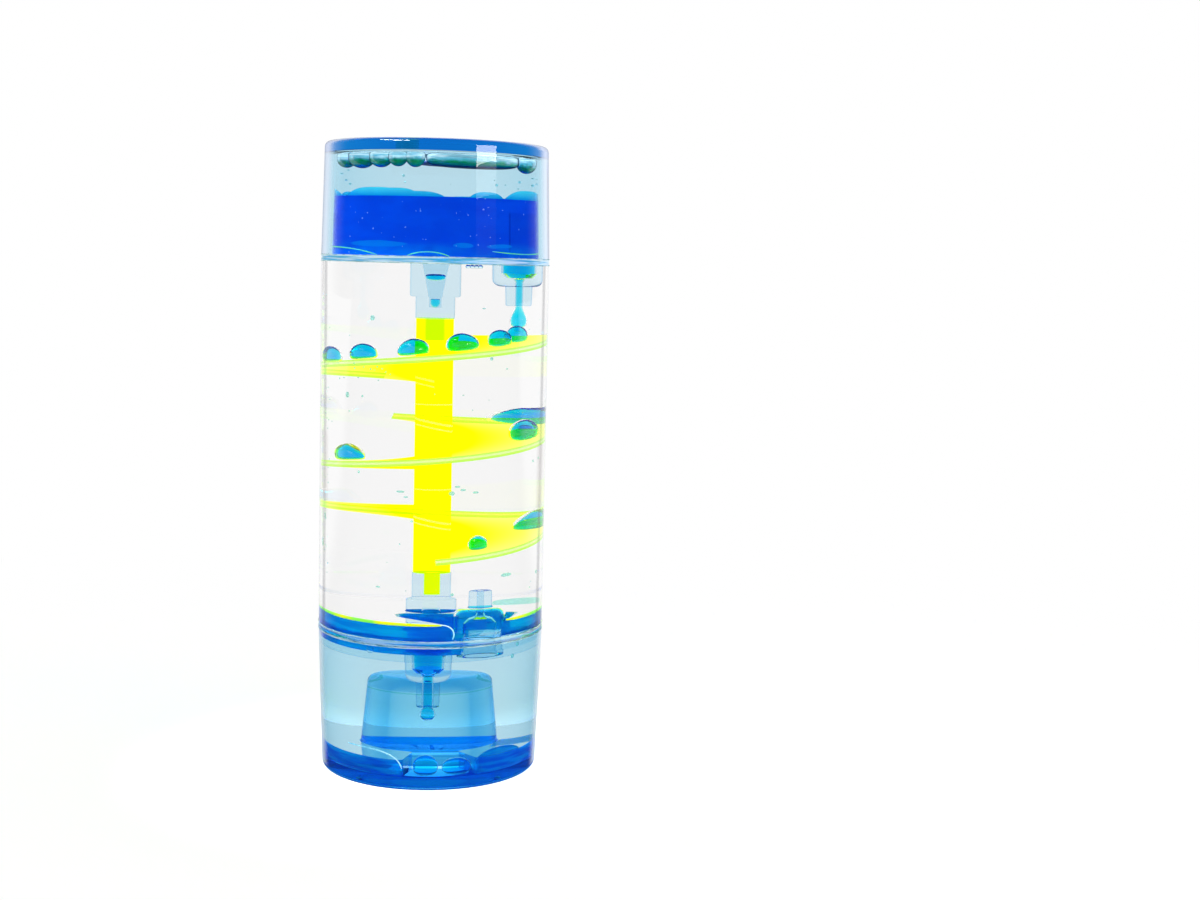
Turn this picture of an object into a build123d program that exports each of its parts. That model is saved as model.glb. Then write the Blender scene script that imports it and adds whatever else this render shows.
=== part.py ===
from build123d import *
import math
import os

# Driving dimensions, millimetres and degrees
TUBE_R = 25.0            # outside radius of the clear tube and of both cup rims
WALL = 2.2               # wall of the tube and of the cups at their rims
LOW_CUP_H = 31.4         # lower cup, from its base to its rim
FLANGE_T = 1.35          # partition flange glued between the tube and a cup
TUBE_L = 79.7            # clear tube, end to end
UP_CUP_H = 24.4          # upper cup, from its rim to its closed end

TOP_DRAFT = 0.65         # how much narrower a cup is at its closed end
BASE_DRAFT = 1.05
TOP_PLATE_T = 2.4        # closed end of the upper cup
BASE_PLATE_T = 2.5       # closed end of the lower cup
END_ROUND = 1.2          # rounding of the closed ends
CORNER_ROUND = 0.8       # rounding of the inside corners of the cups

PUNT_TOP_R = 9.2         # moulded post standing up inside the lower cup
PUNT_DRAFT = 1.2
PUNT_ROUND = 2.0
PUNT_GAP = 0.4           # post top below the shoulder of the drain nozzle
PUNT_WALL = 3.6          # plastic round the hollow of the post, and over it
PUNT_ROOF = 3.1
CORE_DRAFT = 0.6
CORE_ROUND = 1.5

DISH_GAP = 2.2           # ring gap between a dish and its cup
DISH_WALL = 1.3
DISH_DEPTH = 3.8         # how far the dish stands past its flange
DISH_ROUND = 0.6
FLOOR_T = 1.5

HOLDER_R = 3.8           # column holder, wide part and narrow part
NECK_R = 2.95
SHOULDER_ROUND = 0.4
UP_HOLDER_L = 7.25       # upper holder below the tube's end, wide part and neck
UP_NECK_L = 4.58
LOW_HOLDER_L = 6.25      # lower holder above the tube's end, wide part and neck
LOW_NECK_L = 5.73
POCKET_MOUTH_R = 2.7     # coring pocket of a holder, open to its end cup
UP_POCKET_END_R = 1.0
LOW_POCKET_END_R = 1.2
LOW_POCKET_L = 9.4
PIT_R = 0.9              # narrow end of the upper pocket
PIT_L = 2.3

SEGMENTS = 3             # stacked spiral segments
HUB_R = 2.82
SEG_TURN = 85.0          # each segment is turned by this from the one above
PEG_R = 1.3              # keyed peg between segments and holders
PEG_L = 4.8
PEG_FLAT = 0.95          # distance of the key flat from the axis
PEG_PLAY = 0.04          # side play of a peg in its socket
PEG_END_PLAY = 0.1

RAMP_ROOT = 0.62         # how far a ramp is rooted in its hub
RAMP_GAP = 0.25          # oil film between a ramp and the tube wall
RAMP_T = 1.3
RAMP_SLOPE = 0.035       # fall in millimetres for a degree
RAMP_SPAN = 273.0
RAMP_START = 15.0        # where the ramp of the top segment starts, from +X
RAMP_DROP = 4.24         # start of a ramp's middle below the top of its hub

POST_ROOM = 1.2          # oil between the drain spigot and the post
NOZZLE_R = 4.3           # bowl outside, and its draft
NOZZLE_DRAFT = 0.15
NOZZLE_ROUND = 1.5
SPIGOT_R = 2.1           # spigot outside at its tip, and its draft
SPIGOT_DRAFT = 0.1
TIP_ROUND = 0.3
BOWL_R = 2.95            # bowl inside, and its draft
BOWL_DRAFT = 0.1
BOWL_FLOOR = 1.6         # plastic left under the bowl
BOWL_CORNER = 1.0        # slanted corner of the bowl, height and width
BOWL_CORNER_IN = 0.8
FUNNEL_H = 0.3           # shallow funnel from the corner to the lead-in
LEAD_IN = 0.35           # lead-in of the bore, width and length
LEAD_L = 0.5
BORE_R = 0.62
DRAIN_BORE_R = 1.0
DRIP_PHI = 7.0           # angles of the nozzles from +X
UP_VENT_PHI = 50.0
LOW_VENT_PHI = -46.5
DRAIN_PHI = -91.7
DRIP_BOWL = 9.9          # lengths of the bowls and spigots
DRIP_SPIGOT = 4.2
UP_VENT_BOWL = 6.7
UP_VENT_SPIGOT = 3.4
LOW_VENT_BOWL = 10.0
LOW_VENT_SPIGOT = 4.2
DRAIN_BOWL = 6.6
DRAIN_SPIGOT = 5.7

PLUG_R = 2.2             # filling hole plug in the upper closed end
PLUG_EDGE = 7.87         # its middle in from the edge of the closed end
PLUG_PHI = -109.9
PLUG_DIMPLE_R = 1.0
PLUG_DIMPLE = 0.6

OIL_LAYER = 9.6          # clear oil over the coloured liquid in the upper cup
MID_RISE = 3.35          # liquid standing over the lower flange
LOW_DEPTH = 3.8          # liquid on the floor of the lower cup
SKIN = 0.05              # clear film between liquid and a nozzle
FILM = 0.15              # clear film between liquid and a cup or tube wall
PIECE_GAP = 0.1          # clear film between liquid and an inner piece
BAY_X = 4.7              # oil bay in the middle pool over the flange: left end at the wall, right and back edges
BAY_RIGHT_X = 14.5
BAY_Y = -4.8
NICK_X = -5.0            # nick of the bay between the holder and the drain
NICK_Y = -9.0
DISH_BAY_X = 6.3         # the same bay down in the dish
DISH_BAY_Y = -5.5
BAY_ROUND = 1.8          # corners of the bay in plan, and the rounded edge of the liquid round it
BAY_EDGE = 1.4
POOL_LEFT_PHI = -105.0   # front ends of the lower pool
POOL_RIGHT_PHI = -62.5
POOL_END_ROUND = 1.6
OVER = 1.0               # how far a cutter runs past a face
NEAR = 0.01              # how near an edge lies to where it is looked for

PENDANT_L = 4.9          # drop that hangs from the drip nozzle
PENDANT_NECK_R = 0.55
PENDANT_R = 1.4
PENDANT_SHAPE = [(0.56, 0.2), (0.84, 0.41), (1.0, 0.67)]  # shares of its radius and length
DRAIN_DROP_R = 1.42      # drop that leaves the drain nozzle
DRAIN_DROP_H = 3.0
BEAD_H = 1.85            # bead of liquid left in the upper pocket
FLOOR_DROP_GAP = 1.0     # oil between a floor drop and the cup wall
FLOOR_DROP_BELLY = 0.62  # height share of a drop above its widest level
RAMP_DROP_BELLY = 0.6
DROP_LIFT = 0.12         # oil film under a rolling drop

# Drops on the lower floor: name, angle, radius, height
FLOOR_DROPS = [
    ("floor_drop_left", -92.2, 2.5, 4.6),
    ("floor_drop_right", -72.3, 2.9, 3.7),
]

# Ramp drops: name, ramp, angle, distance in from the ramp's edge, length, width, height
DROPS = [
    ("drop_1a", 0, -177.5, 5.55, 5.9, 4.9, 3.5),
    ("drop_1b", 0, -141.0, 6.55, 6.1, 5.0, 3.5),
    ("drop_1c", 0, -102.5, 6.55, 6.2, 5.0, 3.6),
    ("drop_1d", 0, -69.0, 6.55, 6.4, 5.0, 3.8),
    ("drop_1e", 0, -41.0, 6.35, 5.2, 4.6, 3.5),
    ("drop_1f", 0, -19.5, 7.35, 4.8, 4.4, 3.5),
    ("drop_2a", 1, 54.0, 6.35, 7.6, 5.2, 3.7),
    ("drop_2b", 1, -12.0, 6.15, 6.2, 5.4, 4.2),
    ("drop_2c", 1, -152.0, 6.15, 6.4, 5.0, 3.7),
    ("drop_3a", 2, 14.0, 5.55, 6.6, 5.2, 4.0),
    ("drop_3b", 2, -56.0, 6.55, 4.0, 3.8, 3.0),
]

# Heights and radii that follow from them
BORE_WALL_R = TUBE_R - WALL
TUBE_LOW = LOW_CUP_H + FLANGE_T
TUBE_HIGH = TUBE_LOW + TUBE_L
UP_SEAT = TUBE_HIGH + FLANGE_T
TOTAL_H = UP_SEAT + UP_CUP_H
TOP_END_R = TUBE_R - TOP_DRAFT
BASE_END_R = TUBE_R - BASE_DRAFT
DISH_R = BORE_WALL_R - DISH_GAP
UP_FLOOR = UP_SEAT + DISH_DEPTH
LOW_FLOOR = LOW_CUP_H - DISH_DEPTH
UP_SHOULDER_Z = TUBE_HIGH - UP_HOLDER_L
UP_NECK_Z = UP_SHOULDER_Z - UP_NECK_L
LOW_SHOULDER_Z = TUBE_LOW + LOW_HOLDER_L
LOW_NECK_Z = LOW_SHOULDER_Z + LOW_NECK_L
PIT_Z = UP_SHOULDER_Z - PIT_L
SEG_L = (UP_NECK_Z - LOW_NECK_Z) / SEGMENTS
RAMP_IN_R = HUB_R - RAMP_ROOT
RAMP_OUT_R = BORE_WALL_R - RAMP_GAP
NOZZLE_AT_R = PUNT_TOP_R + POST_ROOM + SPIGOT_R + SPIGOT_DRAFT
DRIP_TIP_Z = UP_FLOOR - DRIP_BOWL - DRIP_SPIGOT
DRAIN_SHOULDER_Z = LOW_FLOOR + FLOOR_T - DRAIN_BOWL
DRAIN_TIP_Z = DRAIN_SHOULDER_Z - DRAIN_SPIGOT
PUNT_TOP_Z = DRAIN_SHOULDER_Z - PUNT_GAP
PUNT_FOOT_R = PUNT_TOP_R + PUNT_DRAFT
CORE_TOP_R = PUNT_TOP_R - PUNT_WALL
CORE_FOOT_R = CORE_TOP_R + CORE_DRAFT
CORE_TOP_Z = PUNT_TOP_Z - PUNT_ROOF
UP_POOL_Z = TOTAL_H - TOP_PLATE_T - OIL_LAYER
MID_POOL_Z = TUBE_LOW + MID_RISE
LOW_POOL_Z = BASE_PLATE_T + LOW_DEPTH


def lathe(points):
    """Solid turned about Z from a closed outline of (radius, height) points."""
    outline = Polyline(*points, close=True)
    return revolve(Plane.XZ * make_face(outline), Axis.Z)


def rounded(solid, radius, height, *edge_radii):
    """Round the circular edges at a height that have one of the given radii."""
    chosen = []
    for edge in solid.edges().filter_by(GeomType.CIRCLE):
        z = edge.center(CenterOf.BOUNDING_BOX).Z
        if abs(z - height) < NEAR and min(abs(edge.radius - r) for r in edge_radii) < NEAR:
            chosen.append(edge)
    return fillet(chosen, radius)


def rod(radius, low, high, x=0.0, y=0.0):
    """Upright cylinder between two heights."""
    return Pos(x, y, 0.5 * (low + high)) * Cylinder(radius, high - low)


def cone(low_r, high_r, low, high, x=0.0, y=0.0):
    """Upright cone frustum between two heights."""
    return Pos(x, y, 0.5 * (low + high)) * Cone(low_r, high_r, high - low)


def at_angle(phi, r=NOZZLE_AT_R):
    """Plan position at an angle from +X."""
    a = math.radians(phi)
    return r * math.cos(a), r * math.sin(a)


def peg(radius, low, high):
    """Keyed peg: a pin with one flat, so that segments index as they stack."""
    flat = PEG_FLAT + (radius - PEG_R)
    body = rod(radius, low, high)
    mid = 0.5 * (low + high)
    return body - Pos(flat + radius, 0, mid) * Box(2 * radius, 4 * radius, 2 * (high - low))


def socket(mouth):
    """Cutter for the socket that takes a peg from above."""
    return peg(PEG_R + PEG_PLAY, mouth - PEG_L - PEG_END_PLAY, mouth + OVER)


def ramp_height(ramp, phi):
    """Height of the middle surface of a ramp at an angle."""
    start_phi = RAMP_START + SEG_TURN * ramp
    start_z = UP_NECK_Z - RAMP_DROP - SEG_L * ramp
    return start_z - RAMP_SLOPE * (start_phi - phi)


# Cups and tube
def make_upper_cup():
    ceiling = TOTAL_H - TOP_PLATE_T
    cup = lathe([(0, ceiling), (TOP_END_R - WALL, ceiling), (BORE_WALL_R, UP_SEAT),
                 (TUBE_R, UP_SEAT), (TOP_END_R, TOTAL_H), (0, TOTAL_H)])
    cup = rounded(cup, END_ROUND, TOTAL_H, TOP_END_R)
    cup = rounded(cup, CORNER_ROUND, ceiling, TOP_END_R - WALL)
    return cup - rod(PLUG_R, ceiling - OVER, TOTAL_H + OVER, *at_angle(PLUG_PHI, TOP_END_R - PLUG_EDGE))


def make_fill_plug():
    x, y = at_angle(PLUG_PHI, TOP_END_R - PLUG_EDGE)
    stem = rod(PLUG_R, TOTAL_H - TOP_PLATE_T, TOTAL_H, x, y)
    return stem - rod(PLUG_DIMPLE_R, TOTAL_H - PLUG_DIMPLE, TOTAL_H + OVER, x, y)


def make_main_tube():
    return rod(TUBE_R, TUBE_LOW, TUBE_HIGH) - rod(BORE_WALL_R, TUBE_LOW, TUBE_HIGH)


def make_lower_cup():
    cup = lathe([(CORE_FOOT_R, 0), (BASE_END_R, 0), (TUBE_R, LOW_CUP_H), (BORE_WALL_R, LOW_CUP_H),
                 (BASE_END_R - WALL, BASE_PLATE_T), (PUNT_FOOT_R, BASE_PLATE_T),
                 (PUNT_TOP_R, PUNT_TOP_Z), (0, PUNT_TOP_Z), (0, CORE_TOP_Z),
                 (CORE_TOP_R, CORE_TOP_Z)])
    cup = rounded(cup, PUNT_ROUND, PUNT_TOP_Z, PUNT_TOP_R)
    cup = rounded(cup, END_ROUND, 0, BASE_END_R)
    cup = rounded(cup, CORNER_ROUND, BASE_PLATE_T, BASE_END_R - WALL, PUNT_FOOT_R)
    return rounded(cup, CORE_ROUND, CORE_TOP_Z, CORE_TOP_R)


# Partitions, each a flange, a dish and a column holder
def make_upper_partition():
    floor_top = UP_FLOOR
    floor_low = floor_top - FLOOR_T
    dish_in = DISH_R - DISH_WALL
    body = lathe([(dish_in, TUBE_HIGH), (TUBE_R, TUBE_HIGH), (TUBE_R, UP_SEAT), (DISH_R, UP_SEAT),
                  (DISH_R, floor_top), (0, floor_top), (0, floor_low), (dish_in, floor_low)])
    body = rounded(body, DISH_ROUND, floor_top, DISH_R)
    body += rod(HOLDER_R, UP_SHOULDER_Z, floor_top)
    body += rod(NECK_R, UP_NECK_Z, floor_top)
    body = rounded(body, SHOULDER_ROUND, UP_SHOULDER_Z, HOLDER_R)
    body += Rot(0, 0, -SEG_TURN) * peg(PEG_R, UP_NECK_Z - PEG_L, PIT_Z - OVER)
    body -= cone(UP_POCKET_END_R, POCKET_MOUTH_R, UP_SHOULDER_Z, floor_top)
    body -= rod(PIT_R, PIT_Z, UP_SHOULDER_Z + OVER)
    body -= rod(NOZZLE_R, floor_low - OVER, floor_top + OVER, *at_angle(DRIP_PHI))
    body -= rod(NOZZLE_R, floor_low - OVER, floor_top + OVER, *at_angle(UP_VENT_PHI))
    return body


def make_lower_partition():
    floor_low = LOW_FLOOR
    floor_top = floor_low + FLOOR_T
    dish_in = DISH_R - DISH_WALL
    body = lathe([(dish_in, TUBE_LOW), (TUBE_R, TUBE_LOW), (TUBE_R, LOW_CUP_H), (DISH_R, LOW_CUP_H),
                  (DISH_R, floor_low), (0, floor_low), (0, floor_top), (dish_in, floor_top)])
    body = rounded(body, DISH_ROUND, floor_low, DISH_R)
    body += rod(HOLDER_R, floor_low, LOW_SHOULDER_Z)
    body += rod(NECK_R, floor_low, LOW_NECK_Z)
    body = rounded(body, SHOULDER_ROUND, LOW_SHOULDER_Z, HOLDER_R)
    body -= Rot(0, 0, SEG_TURN * (SEGMENTS - 1)) * socket(LOW_NECK_Z)
    body -= cone(POCKET_MOUTH_R, LOW_POCKET_END_R, floor_low, floor_low + LOW_POCKET_L)
    body -= rod(NOZZLE_R, floor_low - OVER, floor_top + OVER, *at_angle(LOW_VENT_PHI))
    body -= rod(NOZZLE_R, floor_low - OVER, floor_top + OVER, *at_angle(DRAIN_PHI))
    return body


# Nozzles: a bowl with a rounded shoulder and a narrow bored spigot
def bowl_outline(bowl, tip, bore, skin):
    """Outline of a nozzle's bowl and bore from its root, drawn in by a film."""
    foot = bowl - BOWL_FLOOR
    side = BOWL_R - skin
    wall = side - BOWL_DRAFT
    throat = bore - skin
    return [(0, 0), (side, 0), (wall, foot - FUNNEL_H - BOWL_CORNER), (wall - BOWL_CORNER_IN, foot - FUNNEL_H),
            (throat + LEAD_IN, foot), (throat, foot + LEAD_L), (throat, tip), (0, tip)]


def placed(body, root_z, turn, phi):
    """Stand a nozzle body on its root, pointing up, or down where it is turned over."""
    x, y = at_angle(phi)
    return Pos(x, y, root_z) * (Rot(turn, 0, 0) * body)


def nozzle(root_z, turn, bowl, spigot, bore, phi):
    """Nozzle with an open bowl at its root and a bored spigot at its tip."""
    tip = bowl + spigot
    outer = lathe([(0, 0), (NOZZLE_R, 0), (NOZZLE_R - NOZZLE_DRAFT, bowl),
                   (SPIGOT_R + SPIGOT_DRAFT, bowl), (SPIGOT_R, tip), (0, tip)])
    outer = rounded(outer, NOZZLE_ROUND, bowl, NOZZLE_R - NOZZLE_DRAFT)
    outer = rounded(outer, TIP_ROUND, tip, SPIGOT_R)
    hollow = lathe(bowl_outline(bowl, tip, bore, 0.0))
    return placed(outer - hollow, root_z, turn, phi)


def nozzle_charge(root_z, turn, bowl, spigot, bore, phi):
    """Coloured liquid standing in the bowl and bore of a nozzle."""
    return placed(lathe(bowl_outline(bowl, bowl + spigot, bore, SKIN)), root_z, turn, phi)


# Spiral segments
def make_segment(index):
    top = UP_NECK_Z - SEG_L * index
    low = top - SEG_L
    hub = rod(HUB_R, low, top)
    hub -= Rot(0, 0, SEG_TURN * (index - 1)) * socket(top)
    hub += Rot(0, 0, SEG_TURN * index) * peg(PEG_R, low - PEG_L, low + OVER)
    mid_r = 0.5 * (RAMP_IN_R + RAMP_OUT_R)
    path = Helix(pitch=RAMP_SLOPE * 360.0, height=RAMP_SLOPE * RAMP_SPAN, radius=mid_r)
    section = Plane(origin=path @ 0, x_dir=(1, 0, 0), z_dir=path % 0) * Rectangle(
        RAMP_OUT_R - RAMP_IN_R, RAMP_T)
    blade = sweep(section, path=path, is_frenet=True)
    low_phi = RAMP_START + SEG_TURN * index - RAMP_SPAN
    blade = Pos(0, 0, ramp_height(index, low_phi)) * (Rot(0, 0, low_phi) * blade)
    return hub + blade


# Coloured liquid
def on_wall(edge):
    """Whether an edge runs along the bore wall's film."""
    return edge.geom_type == GeomType.CIRCLE and abs(edge.radius - (BORE_WALL_R - FILM)) < NEAR


def make_upper_pool():
    side = BORE_WALL_R - FILM
    slope = TOP_DRAFT / UP_CUP_H
    top_r = side - slope * (UP_POOL_Z - UP_SEAT)
    ring_r = DISH_R + PIECE_GAP
    body = lathe([(0, UP_FLOOR), (ring_r, UP_FLOOR), (ring_r, UP_SEAT), (side, UP_SEAT),
                  (top_r, UP_POOL_Z), (0, UP_POOL_Z)])
    return body - rod(NOZZLE_R + PIECE_GAP, UP_FLOOR - OVER, UP_POOL_Z + OVER, *at_angle(UP_VENT_PHI))


def bay_cutter(points, low, high):
    """Upright cutter over a plan outline, its corners rounded."""
    block = Pos(0, 0, low) * extrude(make_face(Polyline(*points, close=True)), high - low)
    return fillet(block.edges().filter_by(Axis.Z), BAY_ROUND)


def make_middle_pool():
    floor_top = LOW_FLOOR + FLOOR_T
    dish_r = DISH_R - DISH_WALL - PIECE_GAP
    dish = rod(dish_r, floor_top, TUBE_LOW)
    dish -= bay_cutter([(TUBE_R, DISH_BAY_Y), (DISH_BAY_X, DISH_BAY_Y), (DISH_BAY_X, -TUBE_R), (TUBE_R, -TUBE_R)],
                       floor_top - OVER, TUBE_LOW + OVER)
    slab = rod(BORE_WALL_R - FILM, TUBE_LOW, MID_POOL_Z)
    lead_x = BAY_X + WALL * (BAY_X - NICK_X) / (BORE_WALL_R + NICK_Y)
    slab -= bay_cutter([(BAY_RIGHT_X, -TUBE_R), (lead_x, -TUBE_R), (NICK_X, NICK_Y), (NICK_X, BAY_Y),
                        (BAY_RIGHT_X, BAY_Y)], TUBE_LOW - OVER, MID_POOL_Z + OVER)
    rim = slab.faces().sort_by(Axis.Z)[-1].edges()
    slab = fillet([edge for edge in rim if not on_wall(edge)], BAY_EDGE)
    body = dish + slab
    body -= rod(HOLDER_R + PIECE_GAP, floor_top - OVER, MID_POOL_Z + OVER)
    return body - rod(NOZZLE_R + PIECE_GAP, floor_top - OVER, MID_POOL_Z + OVER, *at_angle(LOW_VENT_PHI))


def make_lower_pool():
    wall = BASE_END_R - WALL - FILM
    foot = PUNT_FOOT_R + FILM
    slope = BASE_DRAFT / LOW_CUP_H
    taper = PUNT_DRAFT / (PUNT_TOP_Z - BASE_PLATE_T)
    rise = LOW_DEPTH
    corner = CORNER_ROUND
    body = lathe([(foot + corner, BASE_PLATE_T), (wall - corner, BASE_PLATE_T),
                  (wall + slope * corner, BASE_PLATE_T + corner), (wall + slope * rise, LOW_POOL_Z),
                  (foot - taper * rise, LOW_POOL_Z), (foot - taper * corner, BASE_PLATE_T + corner)])
    reach = 2 * TUBE_R
    front = Polyline((0, 0), at_angle(POOL_LEFT_PHI, reach), at_angle(POOL_RIGHT_PHI, reach), close=True)
    body -= extrude(make_face(front), LOW_POOL_Z + OVER)
    ends = [edge for edge in body.edges().filter_by(GeomType.LINE) if abs((edge % 0.5).Z) > 0.9]
    return fillet([edge for edge in ends if edge.length > rise / 2], POOL_END_ROUND)


def floor_drop(phi, radius, height):
    """Round drop resting on the floor of the lower cup, near its wall."""
    x, y = at_angle(phi, BASE_END_R - WALL - FLOOR_DROP_GAP - radius)
    half = FLOOR_DROP_BELLY * height
    ball = Pos(x, y, BASE_PLATE_T + height - half) * scale(Sphere(1.0), by=(radius, radius, half))
    return ball & Pos(x, y, BASE_PLATE_T + height) * Box(4 * radius, 4 * radius, 2 * height)


def ramp_drop(ramp, phi, inset, length, width, height):
    """Flat-bottomed drop lying on a ramp, drawn out along the way it runs."""
    r = RAMP_OUT_R - inset
    a = math.radians(phi)
    lead = math.degrees(RAMP_SLOPE)
    tangent = Vector(-math.sin(a) * r, math.cos(a) * r, lead).normalized()
    radial = Vector(math.cos(a), math.sin(a), 0)
    normal = radial.cross(tangent)
    half = RAMP_DROP_BELLY * height
    body = scale(Sphere(1.0), by=(length / 2, width / 2, half))
    body = body & Pos(0, 0, half) * Box(2 * length, 2 * width, 2 * height)
    seat = Vector(r * math.cos(a), r * math.sin(a), ramp_height(ramp, phi))
    seat = seat + normal * (RAMP_T / 2 + DROP_LIFT + height - half)
    return Plane(origin=seat, x_dir=tangent, z_dir=normal) * body


def make_pendant():
    top = DRIP_TIP_Z - SKIN
    low = top - PENDANT_L
    belly = [(wide * PENDANT_R, top - down * PENDANT_L) for wide, down in PENDANT_SHAPE]
    side = Spline((PENDANT_NECK_R, top), *belly, (0, low), tangents=[(0.1, -1), (-1, 0)])
    face = make_face([side, Line((0, low), (0, top)), Line((0, top), (PENDANT_NECK_R, top))])
    x, y = at_angle(DRIP_PHI)
    return Pos(x, y, 0) * revolve(Plane.XZ * face, Axis.Z)


def make_drain_drop():
    x, y = at_angle(DRAIN_PHI)
    half = DRAIN_DROP_H / 2
    ball = scale(Sphere(1.0), by=(DRAIN_DROP_R, DRAIN_DROP_R, half))
    return Pos(x, y, DRAIN_TIP_Z - SKIN - half) * ball


os.makedirs("parts", exist_ok=True)

pieces = {
    "upper_cup": make_upper_cup(),
    "fill_plug": make_fill_plug(),
    "main_tube": make_main_tube(),
    "lower_cup": make_lower_cup(),
    "upper_partition": make_upper_partition(),
    "lower_partition": make_lower_partition(),
    "spiral_upper": make_segment(0),
    "spiral_middle": make_segment(1),
    "spiral_lower": make_segment(2),
    "upper_pool": make_upper_pool(),
    "middle_pool": make_middle_pool(),
    "lower_pool": make_lower_pool(),
    "pendant_drop": make_pendant(),
    "drain_drop": make_drain_drop(),
    "holder_bead": rod(PIT_R - PIECE_GAP, PIT_Z, PIT_Z + BEAD_H),
}

UP = 0
DOWN = 180
DRIP = (UP_FLOOR, DOWN, DRIP_BOWL, DRIP_SPIGOT, BORE_R, DRIP_PHI)
DRAIN = (LOW_FLOOR + FLOOR_T, DOWN, DRAIN_BOWL, DRAIN_SPIGOT, DRAIN_BORE_R, DRAIN_PHI)
pieces["upper_drip_nozzle"] = nozzle(*DRIP)
pieces["drip_charge"] = nozzle_charge(*DRIP)
pieces["lower_drain_nozzle"] = nozzle(*DRAIN)
pieces["drain_charge"] = nozzle_charge(*DRAIN)
pieces["upper_vent_nozzle"] = nozzle(UP_FLOOR - FLOOR_T, UP, UP_VENT_BOWL, UP_VENT_SPIGOT, BORE_R, UP_VENT_PHI)
pieces["lower_vent_nozzle"] = nozzle(LOW_FLOOR, UP, LOW_VENT_BOWL, LOW_VENT_SPIGOT, BORE_R, LOW_VENT_PHI)
for name, *sizes in FLOOR_DROPS:
    pieces[name] = floor_drop(*sizes)
for name, *sizes in DROPS:
    pieces[name] = ramp_drop(*sizes)

for name, shape in pieces.items():
    shape.label = name
    export_step(shape, os.path.join("parts", name + ".step"))
print(len(pieces), "pieces")
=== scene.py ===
"""Looks of a liquid motion timer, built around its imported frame."""

import math

import bpy
import numpy as np
from bpy.props import FloatProperty, FloatVectorProperty, IntProperty, PointerProperty
from bpy.types import Operator, Panel, PropertyGroup
from mathutils import Matrix, Vector


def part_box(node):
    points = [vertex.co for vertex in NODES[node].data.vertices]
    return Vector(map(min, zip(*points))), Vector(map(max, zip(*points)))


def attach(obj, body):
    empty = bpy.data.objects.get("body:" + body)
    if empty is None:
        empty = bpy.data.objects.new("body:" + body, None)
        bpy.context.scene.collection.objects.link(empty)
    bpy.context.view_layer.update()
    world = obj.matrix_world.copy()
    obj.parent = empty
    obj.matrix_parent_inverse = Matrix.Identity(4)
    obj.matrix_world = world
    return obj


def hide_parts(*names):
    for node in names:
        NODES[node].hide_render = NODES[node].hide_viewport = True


bl_info = {
    "name": "Liquid motion timer",
    "version": (1, 0, 0),
    "blender": (4, 5, 0),
    "location": "View3D > Sidebar > Timer",
    "description": "Dresses the packed frame of a liquid motion timer",
    "category": "Object",
}

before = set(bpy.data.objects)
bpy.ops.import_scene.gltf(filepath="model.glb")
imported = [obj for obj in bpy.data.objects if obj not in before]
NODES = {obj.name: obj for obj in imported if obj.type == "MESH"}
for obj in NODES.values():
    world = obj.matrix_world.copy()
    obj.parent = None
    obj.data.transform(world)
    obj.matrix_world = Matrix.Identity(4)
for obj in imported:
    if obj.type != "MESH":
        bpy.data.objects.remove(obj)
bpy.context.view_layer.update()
MM = 0.001
CASE = "case"
LIQUID_SLOT = "blue_liquid"
DROP_SLOT = "blue_drop"
CLEAR_SLOT = "clear_tube"
WHITE = (1, 1, 1)
BLACK = (0, 0, 0)


def low(node, axis=2):
    """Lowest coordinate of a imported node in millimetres."""
    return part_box(node)[0][axis] / MM


def high(node, axis=2):
    """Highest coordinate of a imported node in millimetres."""
    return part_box(node)[1][axis] / MM


def middle(node):
    """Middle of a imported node's box in millimetres."""
    corners = np.array(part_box(node)) / MM
    return corners.mean(axis=0)


# Heights and radii of the frame, in millimetres
TUBE_R = high("main_tube", 0)
TUBE_LOW = low("main_tube")
TUBE_HIGH = high("main_tube")
UP_SEAT = low("upper_cup")
TOTAL_H = high("upper_cup")
CEILING = low("fill_plug")
LOW_RIM = high("lower_cup")
UP_LEVEL = high("upper_pool")
MID_LEVEL = high("middle_pool")
LOW_LEVEL = high("lower_pool")
PLUG_X, PLUG_Y, _ = middle("fill_plug")

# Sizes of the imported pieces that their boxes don't give
BORE_R = TUBE_R - 2.2
END_ROUND = 1.2
UP_DRAFT = 0.65
PLUG_R = 2.2
BASE_T = 2.5
POST_FOOT_R = 10.4
HOLLOW_R = 6.2
HOLLOW_TOP = 19.0
DISH_R = 20.6
VENT_SPIGOT = 4.2
SPIGOT_R = 2.2
NOZZLE_ROUND = 1.5

# Spiral segments
SEGMENTS = ("spiral_upper", "spiral_middle", "spiral_lower")
HUB_TOP = high("spiral_upper")
SEG_L = (HUB_TOP - high("lower_partition")) / len(SEGMENTS)
SEG_TURN = 85.0
HUB_R = 2.82
RAMP_START = 15.0
RAMP_DROP = 4.24
RAMP_T = 1.3
RAMP_SLOPE = 0.035
RAMP_EDGE_R = BORE_R - 0.25
PEG_L = 4.8
DROP_LIFT = 0.12


def ramp_start(ramp):
    """Angle and height at which the middle of a ramp starts."""
    return RAMP_START + SEG_TURN * ramp, HUB_TOP - RAMP_DROP - SEG_L * ramp


def math_node(operation):
    """Method that puts a wire and another value through a Math node."""

    def method(wire, other):
        return wire.math(operation, wire, other)

    return method


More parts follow.
